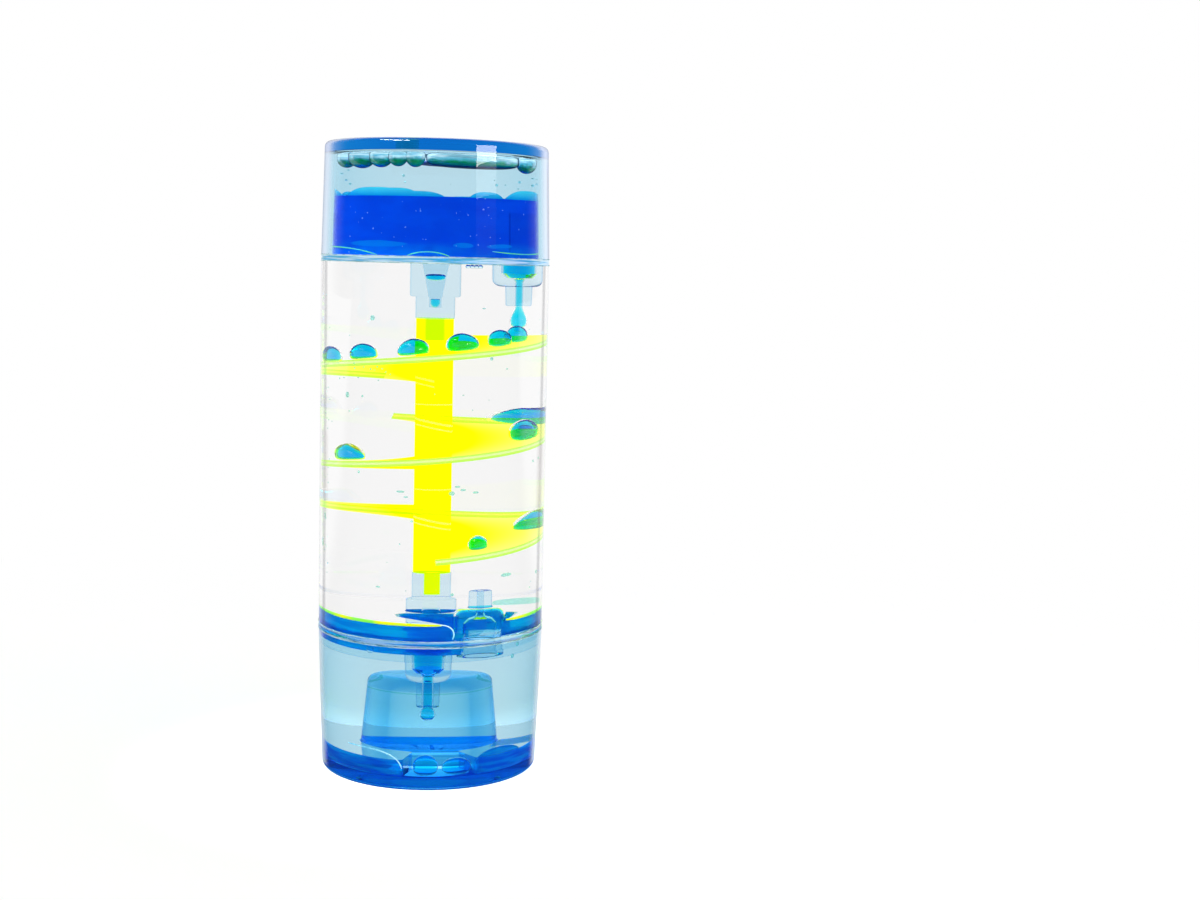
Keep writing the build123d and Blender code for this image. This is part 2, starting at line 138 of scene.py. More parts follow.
class Wire:
    """A shader socket that takes part in Python arithmetic. Each operation adds a Math node."""

    def __init__(self, recipe, socket):
        self.recipe = recipe
        self.socket = socket

    def math(self, operation, *values):
        """Math node over values in order."""
        return self.recipe.node("Math", dict(enumerate(values)), operation=operation)

    def __rsub__(self, other):
        return self.math("SUBTRACT", other, self)

    __add__ = math_node("ADD")
    __radd__ = __add__
    __sub__ = math_node("SUBTRACT")
    __mul__ = math_node("MULTIPLY")
    __rmul__ = __mul__
    __truediv__ = math_node("DIVIDE")
    __pow__ = math_node("POWER")
    __mod__ = math_node("FLOORED_MODULO")
    __gt__ = math_node("GREATER_THAN")
    __lt__ = math_node("LESS_THAN")
    max = math_node("MAXIMUM")

    def step(self, start, end):
        """Smooth step from 0 at start to 1 at end."""
        return self.recipe.node("MapRange", {0: self, 1: start, 2: end}, interpolation_type="SMOOTHSTEP")

    def band(self, start, end, soft):
        """1 between start and end, falling off smoothly outside them."""
        return self.step(start - soft, start) * (1 - self.step(end, end + soft))


class Recipe:
    """The node tree of one material or world, put together from expressions."""

    def __init__(self, owner):
        owner.use_nodes = True
        self.owner = owner
        self.tree = owner.node_tree
        self.tree.nodes.clear()

    def node(self, kind, inputs=None, output=0, **settings):
        """Add a node with its settings and the values or links of its sockets, colours as three shares."""
        node = self.tree.nodes.new("ShaderNode" + kind)
        for key, value in settings.items():
            setattr(node, key, value)
        for key, value in (inputs or {}).items():
            if isinstance(value, Wire):
                self.tree.links.new(value.socket, node.inputs[key])
            elif node.inputs[key].type == "RGBA":
                node.inputs[key].default_value = (*value, 1.0)
            else:
                node.inputs[key].default_value = value
        return Wire(self, node.outputs[output])

    def split(self, vector):
        """The three parts of a vector."""
        node = self.node("SeparateXYZ", {0: vector}).socket.node
        return [Wire(self, socket) for socket in node.outputs]

    def place(self):
        """Object coordinates in millimetres: x, y, z and the distance from the axis."""
        parts = self.split(self.node("TexCoord", output="Object"))
        x, y, z = (part * (1 / MM) for part in parts)
        return x, y, z, (x * x + y * y) ** 0.5

    def angle(self, x, y):
        """Angle about the axis in degrees from +X."""
        return y.math("ARCTAN2", y, x) * math.degrees(1)

    def noise(self, x, y, z, detail=2.0):
        """Smooth noise between 0 and 1 over three stretched coordinates."""
        vector = self.node("CombineXYZ", {0: x, 1: y, 2: z})
        return self.node("TexNoise", {"Vector": vector, "Scale": 1.0, "Detail": detail})

    def facing(self):
        """0 where a surface faces the eye and 1 at its outline."""
        return self.node("LayerWeight", {"Blend": 0.5}, "Facing")

    def path(self, kind):
        """1 for a ray of the given kind."""
        return self.node("LightPath", output=f"Is {kind} Ray")

    def mirrored(self):
        """1 for a ray that was mirrored by a surface and not bent through it."""
        return self.path("Glossy") * (1 - self.path("Transmission"))

    def blend(self, factor, first, second):
        """Colour between two colours."""
        return self.node("Mix", {0: factor, 6: first, 7: second}, 2, data_type="RGBA")

    def layers(self, colour, *coats):
        """Colour under coats of others, each with the share that it covers."""
        for share, coat in coats:
            colour = self.blend(share, colour, coat)
        return colour

    def mix(self, factor, first, second):
        """Shader between two shaders."""
        return self.node("MixShader", {0: factor, 1: first, 2: second})

    def clear(self, colour=WHITE):
        """Surface that lets light straight through."""
        return self.node("BsdfTransparent", {"Color": colour})

    def glass(self, colour, ior, **extra):
        """Surface that lets all light through and bends it."""
        inputs = {"Base Color": colour, "Transmission Weight": 1.0, "IOR": ior, "Roughness": 0.0}
        return self.node("BsdfPrincipled", inputs | extra)

    def bend(self, colour, ior):
        """Surface that bends light and mirrors none of it."""
        return self.node("BsdfRefraction", {"Color": colour, "IOR": ior, "Roughness": 0.0})

    def outside(self):
        """1 where a surface is met from its outer side."""
        return 1 - self.node("NewGeometry", output="Backfacing")

    def solid(self, colour, **extra):
        """Surface that scatters light."""
        inputs = {"Base Color": colour, "Roughness": 0.5, "Specular IOR Level": 0.0}
        return self.node("BsdfPrincipled", inputs | extra)

    def lamps_through(self, shader, colour):
        """Let the light of lamps pass straight through with a tint."""
        return self.mix(self.path("Shadow"), shader, self.clear(colour))

    def soak(self, left, depth):
        """Volume that takes up light, from the colour left of white light after a depth in millimetres."""
        taken = [-math.log(max(share, 1e-6)) / depth for share in left]
        colour = [1 - share / max(taken) for share in taken]
        return self.node("VolumeAbsorption", {"Color": colour, "Density": max(taken) / MM})

    def finish(self, surface, volume=None, lamps=None):
        """Close the tree and hand back what it belongs to; lamps tints the light of lamps let through."""
        if lamps is not None:
            surface = self.lamps_through(surface, lamps)
        kind = "World" if isinstance(self.owner, bpy.types.World) else "Material"
        output = self.tree.nodes.new("ShaderNodeOutput" + kind)
        self.tree.links.new(surface.socket, output.inputs["Surface"])
        if volume is not None:
            self.tree.links.new(volume.socket, output.inputs["Volume"])
        return self.owner


def recipe_for(name):
    """Recipe of a new material."""
    return Recipe(bpy.data.materials.new(name))


def glowing(colour, strength=1.0):
    """Inputs of a surface that gives off light."""
    return {"Emission Color": colour, "Emission Strength": strength}


def dress(finish, *nodes):
    """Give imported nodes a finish."""
    for node in nodes:
        data = NODES[node].data
        data.materials.clear()
        data.materials.append(finish)


# How strongly each stuff bends light, inside the tube against the clear oil
PLASTIC_IOR = 1.48
INNER_IOR = 1.06
NOZZLE_IOR = 1.09
DROP_IOR = 0.905
FLOOR_DROP_IOR = 0.97
POOL_IOR = 0.92
AIR_IOR = 0.68
SMALL_AIR_IOR = 0.95

# Depths in millimetres at which the tints of the plastic and of the liquid are given
CUP_DEPTH = 10.0
LIQUID_DEPTH = 1.0

# Tints of the cups' faces and of the lower floor, and of lamp light let through
SHELL_TINT = (0.89, 0.88, 0.89)
FLOOR_TINT = (0.42, 0.80, 0.94)
SHELL_LAMPS = (0.9, 0.95, 0.97)
MOULDING_LAMPS = (0.9, 0.96, 0.98)
LIQUID_LAMPS = (0.2, 0.7, 1.0)


# Finishes of the shells
def tube_finish():
    """Clear wall that bends light at its outer face, with a painted grey shade line for its thickness at
    each side.
    """
    recipe = recipe_for("clear_tube_finish")
    _, _, z, r = recipe.place()
    facing = recipe.facing()
    # Painted shade: a grey line at each side where the wall's thickness is seen edge on
    line = facing.band(0.70, 0.73, 0.05)
    # Painted shade: a brownish darkening of the sides between 60 and 74 mm high
    painted_edge_shade = z.band(60.0, 74.0, 4.0) * facing.band(0.66, 0.78, 0.06) * 0.5
    tint = recipe.layers((0.955, 0.952, 0.952), (line, (0.36, 0.36, 0.38)), (painted_edge_shade, (0.42, 0.36, 0.34)))
    # Painted shade: a grey solid mixed in along the outline
    outline = facing.step(0.80, 0.97) * 0.55
    outer = recipe.mix(outline, recipe.glass(tint, PLASTIC_IOR), recipe.solid((0.74, 0.74, 0.77)))
    outer = recipe.lamps_through(outer, (0.95, 0.95, 0.95))
    return recipe.finish(recipe.mix(r > TUBE_R - 0.8, recipe.clear(), outer))


def upper_cup_finish(tint):
    """Tinted cup whose wall bends light on both sides, with a painted pale reflection at its outline that
    turns to painted grey shade, and clear round the plug.
    """
    recipe = recipe_for("upper_cup_finish")
    x, y, z, r = recipe.place()
    facing = recipe.facing()
    glass = recipe.glass(WHITE, PLASTIC_IOR)
    inner = recipe.mix(facing.step(0.232, 0.258), recipe.bend(WHITE, PLASTIC_IOR), glass)
    outside = recipe.outside()
    # Painted reflection and shade: pale lavender-white towards the outline, grey at the silhouette itself
    pale = facing.step(0.57, 0.76) * outside * 0.62
    outline = recipe.blend(facing.step(0.76, 0.95), (0.84, 0.87, 1.0), (0.42, 0.45, 0.58))
    outer = recipe.mix(pale, recipe.glass(SHELL_TINT, PLASTIC_IOR), recipe.solid(outline))
    rounded = (r > TUBE_R - 1.9) * (z > CEILING - 0.2) * (1 - outside)
    shader = recipe.mix(rounded, recipe.mix(r > TUBE_R - 1.4, inner, outer), recipe.clear())
    shader = recipe.lamps_through(shader, SHELL_LAMPS)
    aside_x = x - PLUG_X
    aside_y = y - PLUG_Y
    round_plug = ((aside_x * aside_x + aside_y * aside_y) ** 0.5) < PLUG_R + 0.1
    hole = round_plug * (z > CEILING - 0.1) * (z < TOTAL_H - 0.05)
    return recipe.finish(recipe.mix(hole, shader, recipe.clear()), recipe.soak(tint, CUP_DEPTH))


def lower_cup_finish(tint):
    """Tinted cup that bends light at its outside and, weakly, at its post; its hollow lets light straight
    through.

    Its floor is tinted, more deeply in front of the post.
    """
    recipe = recipe_for("lower_cup_finish")
    _, y, z, r = recipe.place()
    post = (r < POST_FOOT_R + 1.2) * (z > BASE_T + 0.1)
    roof = HOLLOW_TOP + 0.3
    core = (r < HOLLOW_R + 0.3) * (z < roof)
    rounded = (r > BORE_R - 0.4) * (z < END_ROUND + 0.1) * (1 - recipe.outside())
    outside = (r > BORE_R + 0.1).max(z < END_ROUND - 0.25) * (1 - core)
    facing = recipe.facing()
    # Painted shade: the post's glass deepens to blue towards its outline
    colour = recipe.layers(
        WHITE,
        (facing.step(0.45, 0.85), (0.10, 0.52, 0.85)),
        (z.step(roof - 0.1, roof + 0.2) * 0.8, (0.25, 0.58, 0.80)),
        (z.band(roof - 0.35, roof - 0.2, 0.12) * 0.7, (0.05, 0.62, 0.40)),
    )
    floor = (z > BASE_T - 0.2) * (z < BASE_T + 0.2) * (r < BORE_R - 0.6)
    behind = y.step(-POST_FOOT_R + 0.4, -POST_FOOT_R + 2.4)
    bed = recipe.mix(behind, recipe.clear((0.10, 0.50, 0.84)), recipe.clear(FLOOR_TINT))
    wall = recipe.mix(floor, recipe.clear(), bed)
    inner = recipe.mix(post * (1 - core), wall, recipe.glass(colour, INNER_IOR))
    # Painted reflection: a pale blue-white solid mixed in towards the outline
    pale = facing.step(0.66, 0.9) * recipe.outside() * (z > END_ROUND) * 0.6
    outer = recipe.mix(pale, recipe.glass(SHELL_TINT, PLASTIC_IOR), recipe.solid((0.74, 0.82, 0.90)))
    shader = recipe.mix(rounded, recipe.mix(outside, inner, outer), recipe.clear())
    return recipe.finish(shader, recipe.soak(tint, CUP_DEPTH), SHELL_LAMPS)


def partition_finish():
    """Tinted moulding in oil; its flange edge at the seam has pale streaks running round it.

    Its faces tint the light, not the depth of the plastic, since liquid and cups lie flush against it.
    """
    recipe = recipe_for("tinted_partition_finish")
    x, y, z, r = recipe.place()
    streak = recipe.noise(recipe.angle(x, y) * 0.03, z * 2.6, 0.0).step(0.44, 0.56)
    upper = z > TUBE_LOW + 9.0
    dark = recipe.blend(upper, (0.0, 0.32, 0.64), (0.03, 0.40, 0.62))
    colour = recipe.blend(streak, dark, (0.84, 0.97, 0.98))
    share = 0.26 + upper * 0.26
    rim = recipe.mix(share, recipe.glass((0.66, 0.90, 0.94), PLASTIC_IOR), recipe.solid(colour))
    # Painted shade: the inner faces deepen to blue towards their outline
    edge = recipe.facing().step(0.5, 0.9)
    inner = recipe.glass(recipe.blend(edge, (0.69, 0.86, 0.94), (0.40, 0.70, 0.89)), INNER_IOR)
    floor = (z < LOW_RIM - 2.1) * (r < DISH_R - 1.0)
    inner = recipe.mix(floor, inner, recipe.clear((0.9, 0.97, 0.99)))
    return recipe.finish(recipe.mix(r > TUBE_R - 0.5, inner, rim), lamps=MOULDING_LAMPS)


def nozzle_finish():
    """Tinted moulding in oil, with painted shade that deepens its colour along its edges."""
    recipe = recipe_for("tinted_nozzle_finish")
    edge = recipe.facing().step(0.45, 0.9)
    colour = recipe.blend(edge, (0.70, 0.87, 0.95), (0.16, 0.48, 0.82))
    return recipe.finish(recipe.glass(colour, NOZZLE_IOR), lamps=MOULDING_LAMPS)


def plug_finish():
    """Greenish plug in the filling hole."""
    recipe = recipe_for("plug_finish")
    return recipe.finish(recipe.clear((0.9, 0.97, 0.93)), recipe.soak((0.05, 0.55, 0.45), CUP_DEPTH))


def seam_finish():
    """Grey-green bead of set glue along a seam, paler in stretches."""
    recipe = recipe_for("seam_finish")
    x, y, z, _ = recipe.place()
    patch = recipe.noise(recipe.angle(x, y) * 0.2, z, 0.0).step(0.4, 0.6)
    colour = recipe.blend(patch, (0.30, 0.52, 0.50), (0.72, 0.84, 0.84))
    return recipe.finish(recipe.mix(0.55, recipe.solid(colour, Roughness=0.3), recipe.clear()))


# Finish of the spiral
def spiral_finish(ramp, yellow, lime):
    """See-through yellow, pure at the hub and lime towards the ramp's lit edge with a painted pale
    highlight streak.

    The height above the middle of the ramp is z less the ramp's own height at that angle. The hub shows a
    pale seam at its top, the socket at the column's upper end and the slanted edges of the ramp behind it.
    """
    recipe = recipe_for(SEGMENTS[ramp] + "_finish")
    x, y, z, r = recipe.place()
    start_phi, start_z = ramp_start(ramp)
    swept = (start_phi - recipe.angle(x, y)) % 360.0
    above = z - (start_z - RAMP_SLOPE * swept)
    edge = r.step(RAMP_EDGE_R - 0.25, RAMP_EDGE_R - 0.05)
    # Painted highlight: a pale streak along the top of the ramp's lit edge
    streak = above.band(-0.05, 0.22, 0.18) * edge
    under = (1 - above.step(-0.6, -0.35)) * edge
    hub = r < HUB_R + 0.1
    socket = (x * x < 2.4) * (z > HUB_TOP - PEG_L) * hub
    colour = recipe.layers(
        yellow, (r.step(6.0, 21.0), (0.90, 1.0, 0.24)), (edge, lime), (socket, (0.72, 0.95, 0.0))
    )
    seam_z = HUB_TOP - SEG_L * ramp
    seam = z.band(seam_z - 0.12, seam_z, 0.1) * hub
    behind = start_z - RAMP_SLOPE * ((start_phi - 90.0) % 360.0)
    slant = z - behind + x * 0.28
    reach = HUB_R if ramp else 0.0
    mark = slant.band(0.4, 0.7, 0.12).max(slant.band(-0.75, -0.55, 0.1))
    mark = mark * (y < 0) * (x < reach) * hub
    peg = z < seam_z - SEG_L - 0.05
    glow = recipe.layers((0.12, 0.18, 0.0), (edge, (0.16, 0.24, 0.04)), (peg, (0.26, 0.38, 0.0)))
    shader = recipe.glass(colour, 1.0, **glowing(glow))
    lit = recipe.layers(lime, (streak * 0.85, (0.85, 1.0, 0.62)), (under * 0.7, (0.45, 0.90, 0.06)))
    shader = recipe.mix(edge * 0.72, shader, recipe.solid(lit, **glowing(lit, 0.15)))
    shader = recipe.mix(seam.max(mark * 0.7) * 0.5, shader, recipe.solid((0.80, 0.98, 0.50)))
    return recipe.finish(shader, lamps=(1.0, 1.0, 0.2))


# Finishes of the liquid
def liquid_finish(name, ior, left, **extra):
    """Blue dyed water: what light it takes up grows with its depth."""
    recipe = recipe_for(name)
    return recipe.finish(recipe.glass(WHITE, ior, **extra), recipe.soak(left, LIQUID_DEPTH), LIQUID_LAMPS)


# Limit beyond every place of the pools that it is given to
FAR = 99.0

# Oil lenses along the foot of the upper pool: their height over the seat, and the angle, half width in
# degrees and half height of each
LENS_RISE = 2.2
LENSES = ((-122.0, 19.0, 0.75), (-76.0, 6.0, 0.55), (-55.0, 9.0, 0.5), (70.0, 25.0, 0.7))


def pool_finish(name, level, through, deep, light, open_x=FAR, thin_r=0.0, dull_x=FAR):
    """Standing dyed water: a mirror from above, its sides tinting light and scattering some in streaks.

    Down in the dish, past open_x, it is too thin to show, and its sides are thin within thin_r of the axis.
    Past dull_x a patch of its top is dull and shows its colour.
    """
    recipe = recipe_for(name)
    x, y, z, r = recipe.place()
    streak = recipe.noise(recipe.angle(x, y) * 0.04, z * 0.9, r * 0.1).step(0.4, 0.65)
    body = recipe.solid(recipe.blend(streak, deep, light))
    side = 1 - z.step(level - 0.08, level - 0.02)
    dish = z.band(LOW_RIM - 8.0, LOW_RIM + 0.8, 0.4)
    tint = recipe.blend(dish, through, (0.0, 0.66, 0.95))
    shader = recipe.mix(side * 0.45, recipe.glass(tint, POOL_IOR), body)
    shader = recipe.mix((x > open_x) * (z < TUBE_LOW - 0.3), shader, recipe.clear())
    shader = recipe.mix((r < thin_r) * side * 0.8, shader, recipe.clear(FLOOR_TINT))
    dull = (1 - side) * x.step(dull_x - 0.5, dull_x) * y.band(-5.0, 1.5, 1.5)
    shader = recipe.mix(dull * 0.85, shader, recipe.solid((0.0, 0.32, 0.74)))
    return recipe.finish(shader, lamps=LIQUID_LAMPS)


def upper_pool_finish():
    """Deep blue water with pale grains, paler oil lenses along its foot and the painted dark shade of the
    vent seen through it.
    """
    recipe = recipe_for("upper_pool_finish")
    x, y, z, _ = recipe.place()
    angle = recipe.angle(x, y)
    sway = recipe.noise(angle * 0.06, z * 0.35, 0.0)
    up = z - UP_SEAT
    pale = (1 - up.step(0.8, 3.6)) * (0.25 + sway.step(0.35, 0.7) * 0.5)
    for phi, half, rise in LENSES:
        along = (angle - phi) / half
        across = (up - LENS_RISE - sway * 0.5) / rise
        pale = pale.max(1 - (along * along + across * across).step(0.6, 1.0))
    # Painted shade: the vent seen through the water, darker, with a dark line along its side
    vent = angle.band(-47.0, -17.0, 2.5) * up.band(0.4, 9.3, 0.5)
    side = angle.band(-49.0, -48.4, 0.7) * up.band(1.5, 9.0, 1.0)
    grain = recipe.noise(x * 1.7, y * 1.7, z * 1.7, 0.0).step(0.80, 0.84)
    deep = recipe.layers(
        (0.0, 0.08, 0.77),
        (sway.step(0.3, 0.7), (0.0, 0.095, 0.83)),
        (vent * 0.35, (0.0, 0.05, 0.50)),
        (side * 0.6, (0.0, 0.03, 0.34)),
        (pale * 0.7, (0.0, 0.33, 0.90)),
        (grain * 0.6, (0.45, 0.66, 0.96)),
    )
    shader = recipe.mix(0.7, recipe.glass((0.0, 0.06, 0.72), 1.0), recipe.solid(deep))
    return recipe.finish(shader, lamps=LIQUID_LAMPS)


def floor_drop_finish(left):
    """Drop under oil on the lower floor, with a painted pale reflection along its outline."""
    recipe = recipe_for("floor_drop_finish")
    # Painted reflection: a pale solid mixed in along the outline
    edge = recipe.facing().step(0.70, 0.95) * 0.7
    glass = recipe.glass(WHITE, FLOOR_DROP_IOR)
    shader = recipe.mix(edge, glass, recipe.solid((0.50, 0.84, 0.97)))
    return recipe.finish(shader, recipe.soak(left, LIQUID_DEPTH), LIQUID_LAMPS)


def film_finish():
    """Thin cyan film of dyed water drawn up the wall, paler towards its upper edge."""
    recipe = recipe_for("film_finish")
    _, _, z, _ = recipe.place()
    rise = (z - UP_LEVEL).step(-0.2, 1.8)
    colour = recipe.blend(rise, (0.0, 0.46, 0.84), (0.10, 0.76, 0.88))
    shader = recipe.mix(0.55, recipe.glass(colour, 1.0), recipe.solid(colour))
    return recipe.finish(shader, lamps=(0.3, 0.8, 1.0))


def rim_finish(name, lit, turn=(0.25, 0.95, 0.08)):
    """Edge of the liquid that holds light, of a second colour in stretches and towards the sides."""
    recipe = recipe_for(name)
    x, y, z, _ = recipe.place()
    aside = x / BORE_R
    green = recipe.noise(recipe.angle(x, y) * 0.05, z * 0.2, 0.0).step(0.45, 0.65)
    colour = recipe.blend(green.max((aside * aside).step(0.6, 0.85)), lit, turn)
    shader = recipe.solid(colour, **glowing(colour, 0.3), Roughness=0.25)
    return recipe.finish(recipe.mix(0.15, shader, recipe.clear()))


def bubble_finish():
    """Air bubble under the closed end: painted pale highlights and streaks above, painted green and blue
    reflections from below and a painted dark outline.
    """
    recipe = recipe_for("bubble_finish")
    x, y, z, _ = recipe.place()
    wave = recipe.noise(x * 0.4, y * 0.4, z * 0.8)
    depth = CEILING - z + wave * 1.4
    streak = recipe.noise(x * 0.12, y * 0.12, z * 2.4).step(0.44, 0.56)
    edge = recipe.facing().step(0.58, 0.80)
    outline = edge * 0.95
    # Painted reflections and highlights: white above with teal streaks, green and blue lower down, and a
    # painted dark outline
    colour = recipe.layers(
        (0.95, 1.0, 1.0),
        (streak, (0.12, 0.48, 0.60)),
        (depth.step(2.0, 2.8), (0.08, 0.50, 0.56)),
        (depth.step(2.5, 3.1), (0.0, 0.32, 0.11)),
        (depth.step(3.8, 4.3), (0.0, 0.14, 0.56)),
        (outline, (0.0, 0.04, 0.09)),
    )
    # Painted glow on the upper part, none at the outline
    glow = recipe.blend(depth.step(1.6, 2.6).max(edge), (0.48, 0.55, 0.57), BLACK)
    share = outline.max(depth.step(2.2, 3.0) * 0.8).max(0.5)
    body = recipe.solid(colour, **glowing(glow))
    return recipe.finish(recipe.mix(share, recipe.glass(colour, AIR_IOR), body), lamps=SHELL_LAMPS)


def small_bubble_finish():
    """Small air bubble, nearly clear, with a painted dark outline."""
    recipe = recipe_for("small_bubble_finish")
    # Painted shade: a dark solid mixed in along the outline
    edge = recipe.facing().step(0.5, 0.9) * 0.5
    glass = recipe.glass((0.80, 0.95, 0.98), SMALL_AIR_IOR)
    return recipe.finish(recipe.mix(edge, glass, recipe.solid((0.06, 0.30, 0.42))), lamps=SHELL_LAMPS)


def speck_finish(name, colour, strength):
    """Fine drops of dyed water hanging in the oil."""
    recipe = recipe_for(name)
    x, y, z, _ = recipe.place()
    vary = recipe.noise(x * 0.9, y * 0.9, z * 0.9)
    tint = recipe.blend(vary, colour, (0.42, 0.80, 0.76))
    shader = recipe.mix(strength, recipe.glass(tint, 1.0), recipe.solid(tint))
    return recipe.finish(shader, lamps=(0.7, 0.95, 0.95))


# Surfaces
SHARP = math.radians(40.0)
UP = (0.0, 0.0, 1.0)
DOWN = (0.0, 0.0, -1.0)
UPRIGHT = ((1, 0, 0), (0, 1, 0), UP)
HANGING = ((1, 0, 0), (0, -1, 0), DOWN)
SLEEVE_GAP = 0.08
RIM_R = BORE_R - 0.2


def circle(count):
    """Angles in radians right round a circle."""
    return np.linspace(0.0, 2 * math.pi, count, endpoint=False)


def half_circle(count):
    """Angles in radians from foot to crown, a column without its two ends."""
    return np.linspace(-0.5 * math.pi, 0.5 * math.pi, count)[1:-1, None]


def skin(rings, closed=False):
    """Closed skin over rings of points, an array of ring, place on the ring and x, y, z.

    Quads join each ring to the next. An open run of rings gets a fan to the middle of each end ring, and a
    closed one joins its last ring to its first. The faces are turned round if they hold a negative volume.
    """
    count, around = rings.shape[:2]
    index = np.arange(count * around).reshape(count, around)
    ahead = np.roll(index, -1, axis=1)
    corners = [index, ahead, np.roll(ahead, -1, axis=0), np.roll(index, -1, axis=0)]
    quads = np.stack(corners, axis=-1)
    points = rings.reshape(-1, 3)
    triangles = np.empty((0, 3), dtype=int)
    if not closed:
        quads = quads[:-1]
        first = np.full(around, count * around)
        low_fan = np.stack([first, ahead[0], index[0]], axis=-1)
        high_fan = np.stack([first + 1, index[-1], ahead[-1]], axis=-1)
        triangles = np.concatenate([low_fan, high_fan])
        points = np.concatenate([points, rings[[0, -1]].mean(axis=1)])
    quads = quads.reshape(-1, 4)
    halves = np.concatenate([quads[:, [0, 1, 2]], quads[:, [0, 2, 3]], triangles])
    a, b, c = (points[halves[:, side]] for side in range(3))
    if np.einsum("ij,ij->i", a, np.cross(b, c)).sum() < 0:
        quads = quads[:, ::-1]
        triangles = triangles[:, ::-1]
    return points, quads, triangles


def build(name, shapes, finish, slot, *nodes, body=CASE, closed=False):
    """Object at the origin over rings in millimetres, riding on a body and standing for nodes."""
    points = []
    faces = []
    start = 0
    for rings in shapes:
        part, quads, triangles = skin(rings, closed)
        points.append(part)
        faces += (quads + start).tolist() + (triangles + start).tolist()
        start += len(part)
    mesh = bpy.data.meshes.new(name)
    mesh.from_pydata((np.concatenate(points) * MM).tolist(), [], faces)
    mesh.shade_smooth()
    mesh.set_sharp_from_angle(angle=SHARP)
    mesh.materials.append(finish)
    piece = bpy.data.objects.new(name, mesh)
    bpy.context.scene.collection.objects.link(piece)
    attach(piece, body)
    if nodes:
        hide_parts(*nodes)


def dome(length, width, height, belly=0.36, flat=0.5, crown=1.0, lean=0.0, tip=0.0, tip_at=0.0):
    """Drop that lies on a level face: rings over length, width and height, its foot at zero.

    A half turn from foot to crown gives shares of the plan radius, the cosine, and of the height, the sine.
    Below the belly both go to the power flat, which squares the foot, and above it to the power crown. Lean
    shifts the crown along the length, and tip draws the plan and the height in towards one side.
    """
    rise = half_circle(26)
    turn = circle(40)[None, :]
    power = np.where(rise < 0, flat, crown)
    share = np.cos(rise) ** power
    lift = np.sign(np.sin(rise)) * np.abs(np.sin(rise)) ** power
    tall = belly + np.where(rise < 0, belly, 1 - belly) * lift
    drawn = tip * np.maximum(0.0, np.cos(turn - tip_at)) ** 2
    u = 0.5 * length * share * np.cos(turn) + lean * length * tall
    v = 0.5 * width * share * np.sin(turn) * (1 - 0.5 * drawn)
    w = height * tall * (1 - drawn * share)
    return np.stack(np.broadcast_arrays(u, v, w), axis=-1)


def set_in(rings, origin, axes):
    """Move rings of local points to an origin along three axes."""
    return np.array(origin) + rings @ np.array(axes)


def at(phi, r, z):
    """Points at angles in degrees, radii and heights."""
    a = np.radians(phi)
    return np.stack(np.broadcast_arrays(r * np.cos(a), r * np.sin(a), z), axis=-1)


def wall_axes(phi):
    """Directions along the wall, inward and up at an angle in degrees."""
    out = at(phi, 1.0, 0.0)
    return (-out[1], out[0], 0.0), -out, UP


def turned(r, z, x=0.0, y=0.0):
    """Closed profile of radii and heights carried right round an upright axis at x and y."""
    phi = np.linspace(0.0, 360.0, 180, endpoint=False)[:, None]
    return at(phi, r[None, :], z[None, :]) + np.array([x, y, 0.0])


def hoop(r, z, thick):
    """Round bead right round the axis: a circle of the given thickness carried along a circle."""
    turn = circle(8)
    return turned(r + 0.5 * thick * np.cos(turn), z + 0.5 * thick * np.sin(turn))


def sleeve(node, foot, spigot, thick):
    """Film of liquid over the shoulder of an upright nozzle, from a foot height up to its spigot.

    Both sides of the film are a quarter circle from the upright wall to the level shoulder, the outer one
    larger by the thickness, and a short level end runs in to the spigot.
    """
    x, y, _ = middle(node)
    wall = 0.5 * (high(node, 0) - low(node, 0)) + SLEEVE_GAP
    neck = SPIGOT_R + 0.15
    inner = NOZZLE_ROUND
    outer = inner + thick
    centre_r = wall - inner
    centre_z = high(node) - spigot + SLEEVE_GAP - inner
    corner = np.linspace(0.0, 0.5 * math.pi, 12)
    back = corner[::-1]
    outer_r = centre_r + outer * np.cos(corner)
    inner_r = centre_r + inner * np.cos(back)
    outer_z = centre_z + outer * np.sin(corner)
    inner_z = centre_z + inner * np.sin(back)
    r = [wall + thick, *outer_r, neck, neck, *inner_r, wall]
    z = [foot, *outer_z, centre_z + outer, centre_z + inner, *inner_z, foot]
    return turned(np.array(r), np.array(z), x, y)


def wall_line(knots, base, r, tall, deep):
    """Bead along a smooth line on the wall, through knots of angle and rise over a base height.

    The line is a cubic through the knots over their share t of the way, and an ellipse is carried along it,
    its size going as the fourth root of 4 t (1 - t) so that both ends close softly.
    """
    knots = np.array(knots, dtype=float)
    share = np.linspace(0.0, 1.0, len(knots))
    order = min(3, len(knots) - 1)
    t = np.linspace(0.002, 0.998, 140)
    phi = np.polyval(np.polyfit(share, knots[:, 0], order), t)
    z = np.polyval(np.polyfit(share, base + knots[:, 1], order), t)
    spine = at(phi, r, z)
    along = np.gradient(spine, axis=0)
    along /= np.linalg.norm(along, axis=1, keepdims=True)
    out = at(phi, 1.0, 0.0)
    across = np.cross(along, out)
    size = (4 * t * (1 - t)) ** 0.25
    turn = circle(10)[None, :, None]
    ring = deep * np.cos(turn) * out[:, None, :] + tall * np.sin(turn) * across[:, None, :]
    return spine[:, None, :] + size[:, None, None] * ring


def speck(phi, r, z, wide, tall, deep=0.25):
    """Small ellipsoid lying on the wall: plan and height by the cosine and sine of a half turn."""
    rise = half_circle(7)
    turn = circle(8)[None, :]
    u = np.cos(rise) * np.cos(turn) * wide
    v = np.cos(rise) * np.sin(turn) * deep
    local = np.stack(np.broadcast_arrays(u, v, np.sin(rise) * tall), axis=-1)
    return set_in(local, at(phi, r, z), wall_axes(phi))


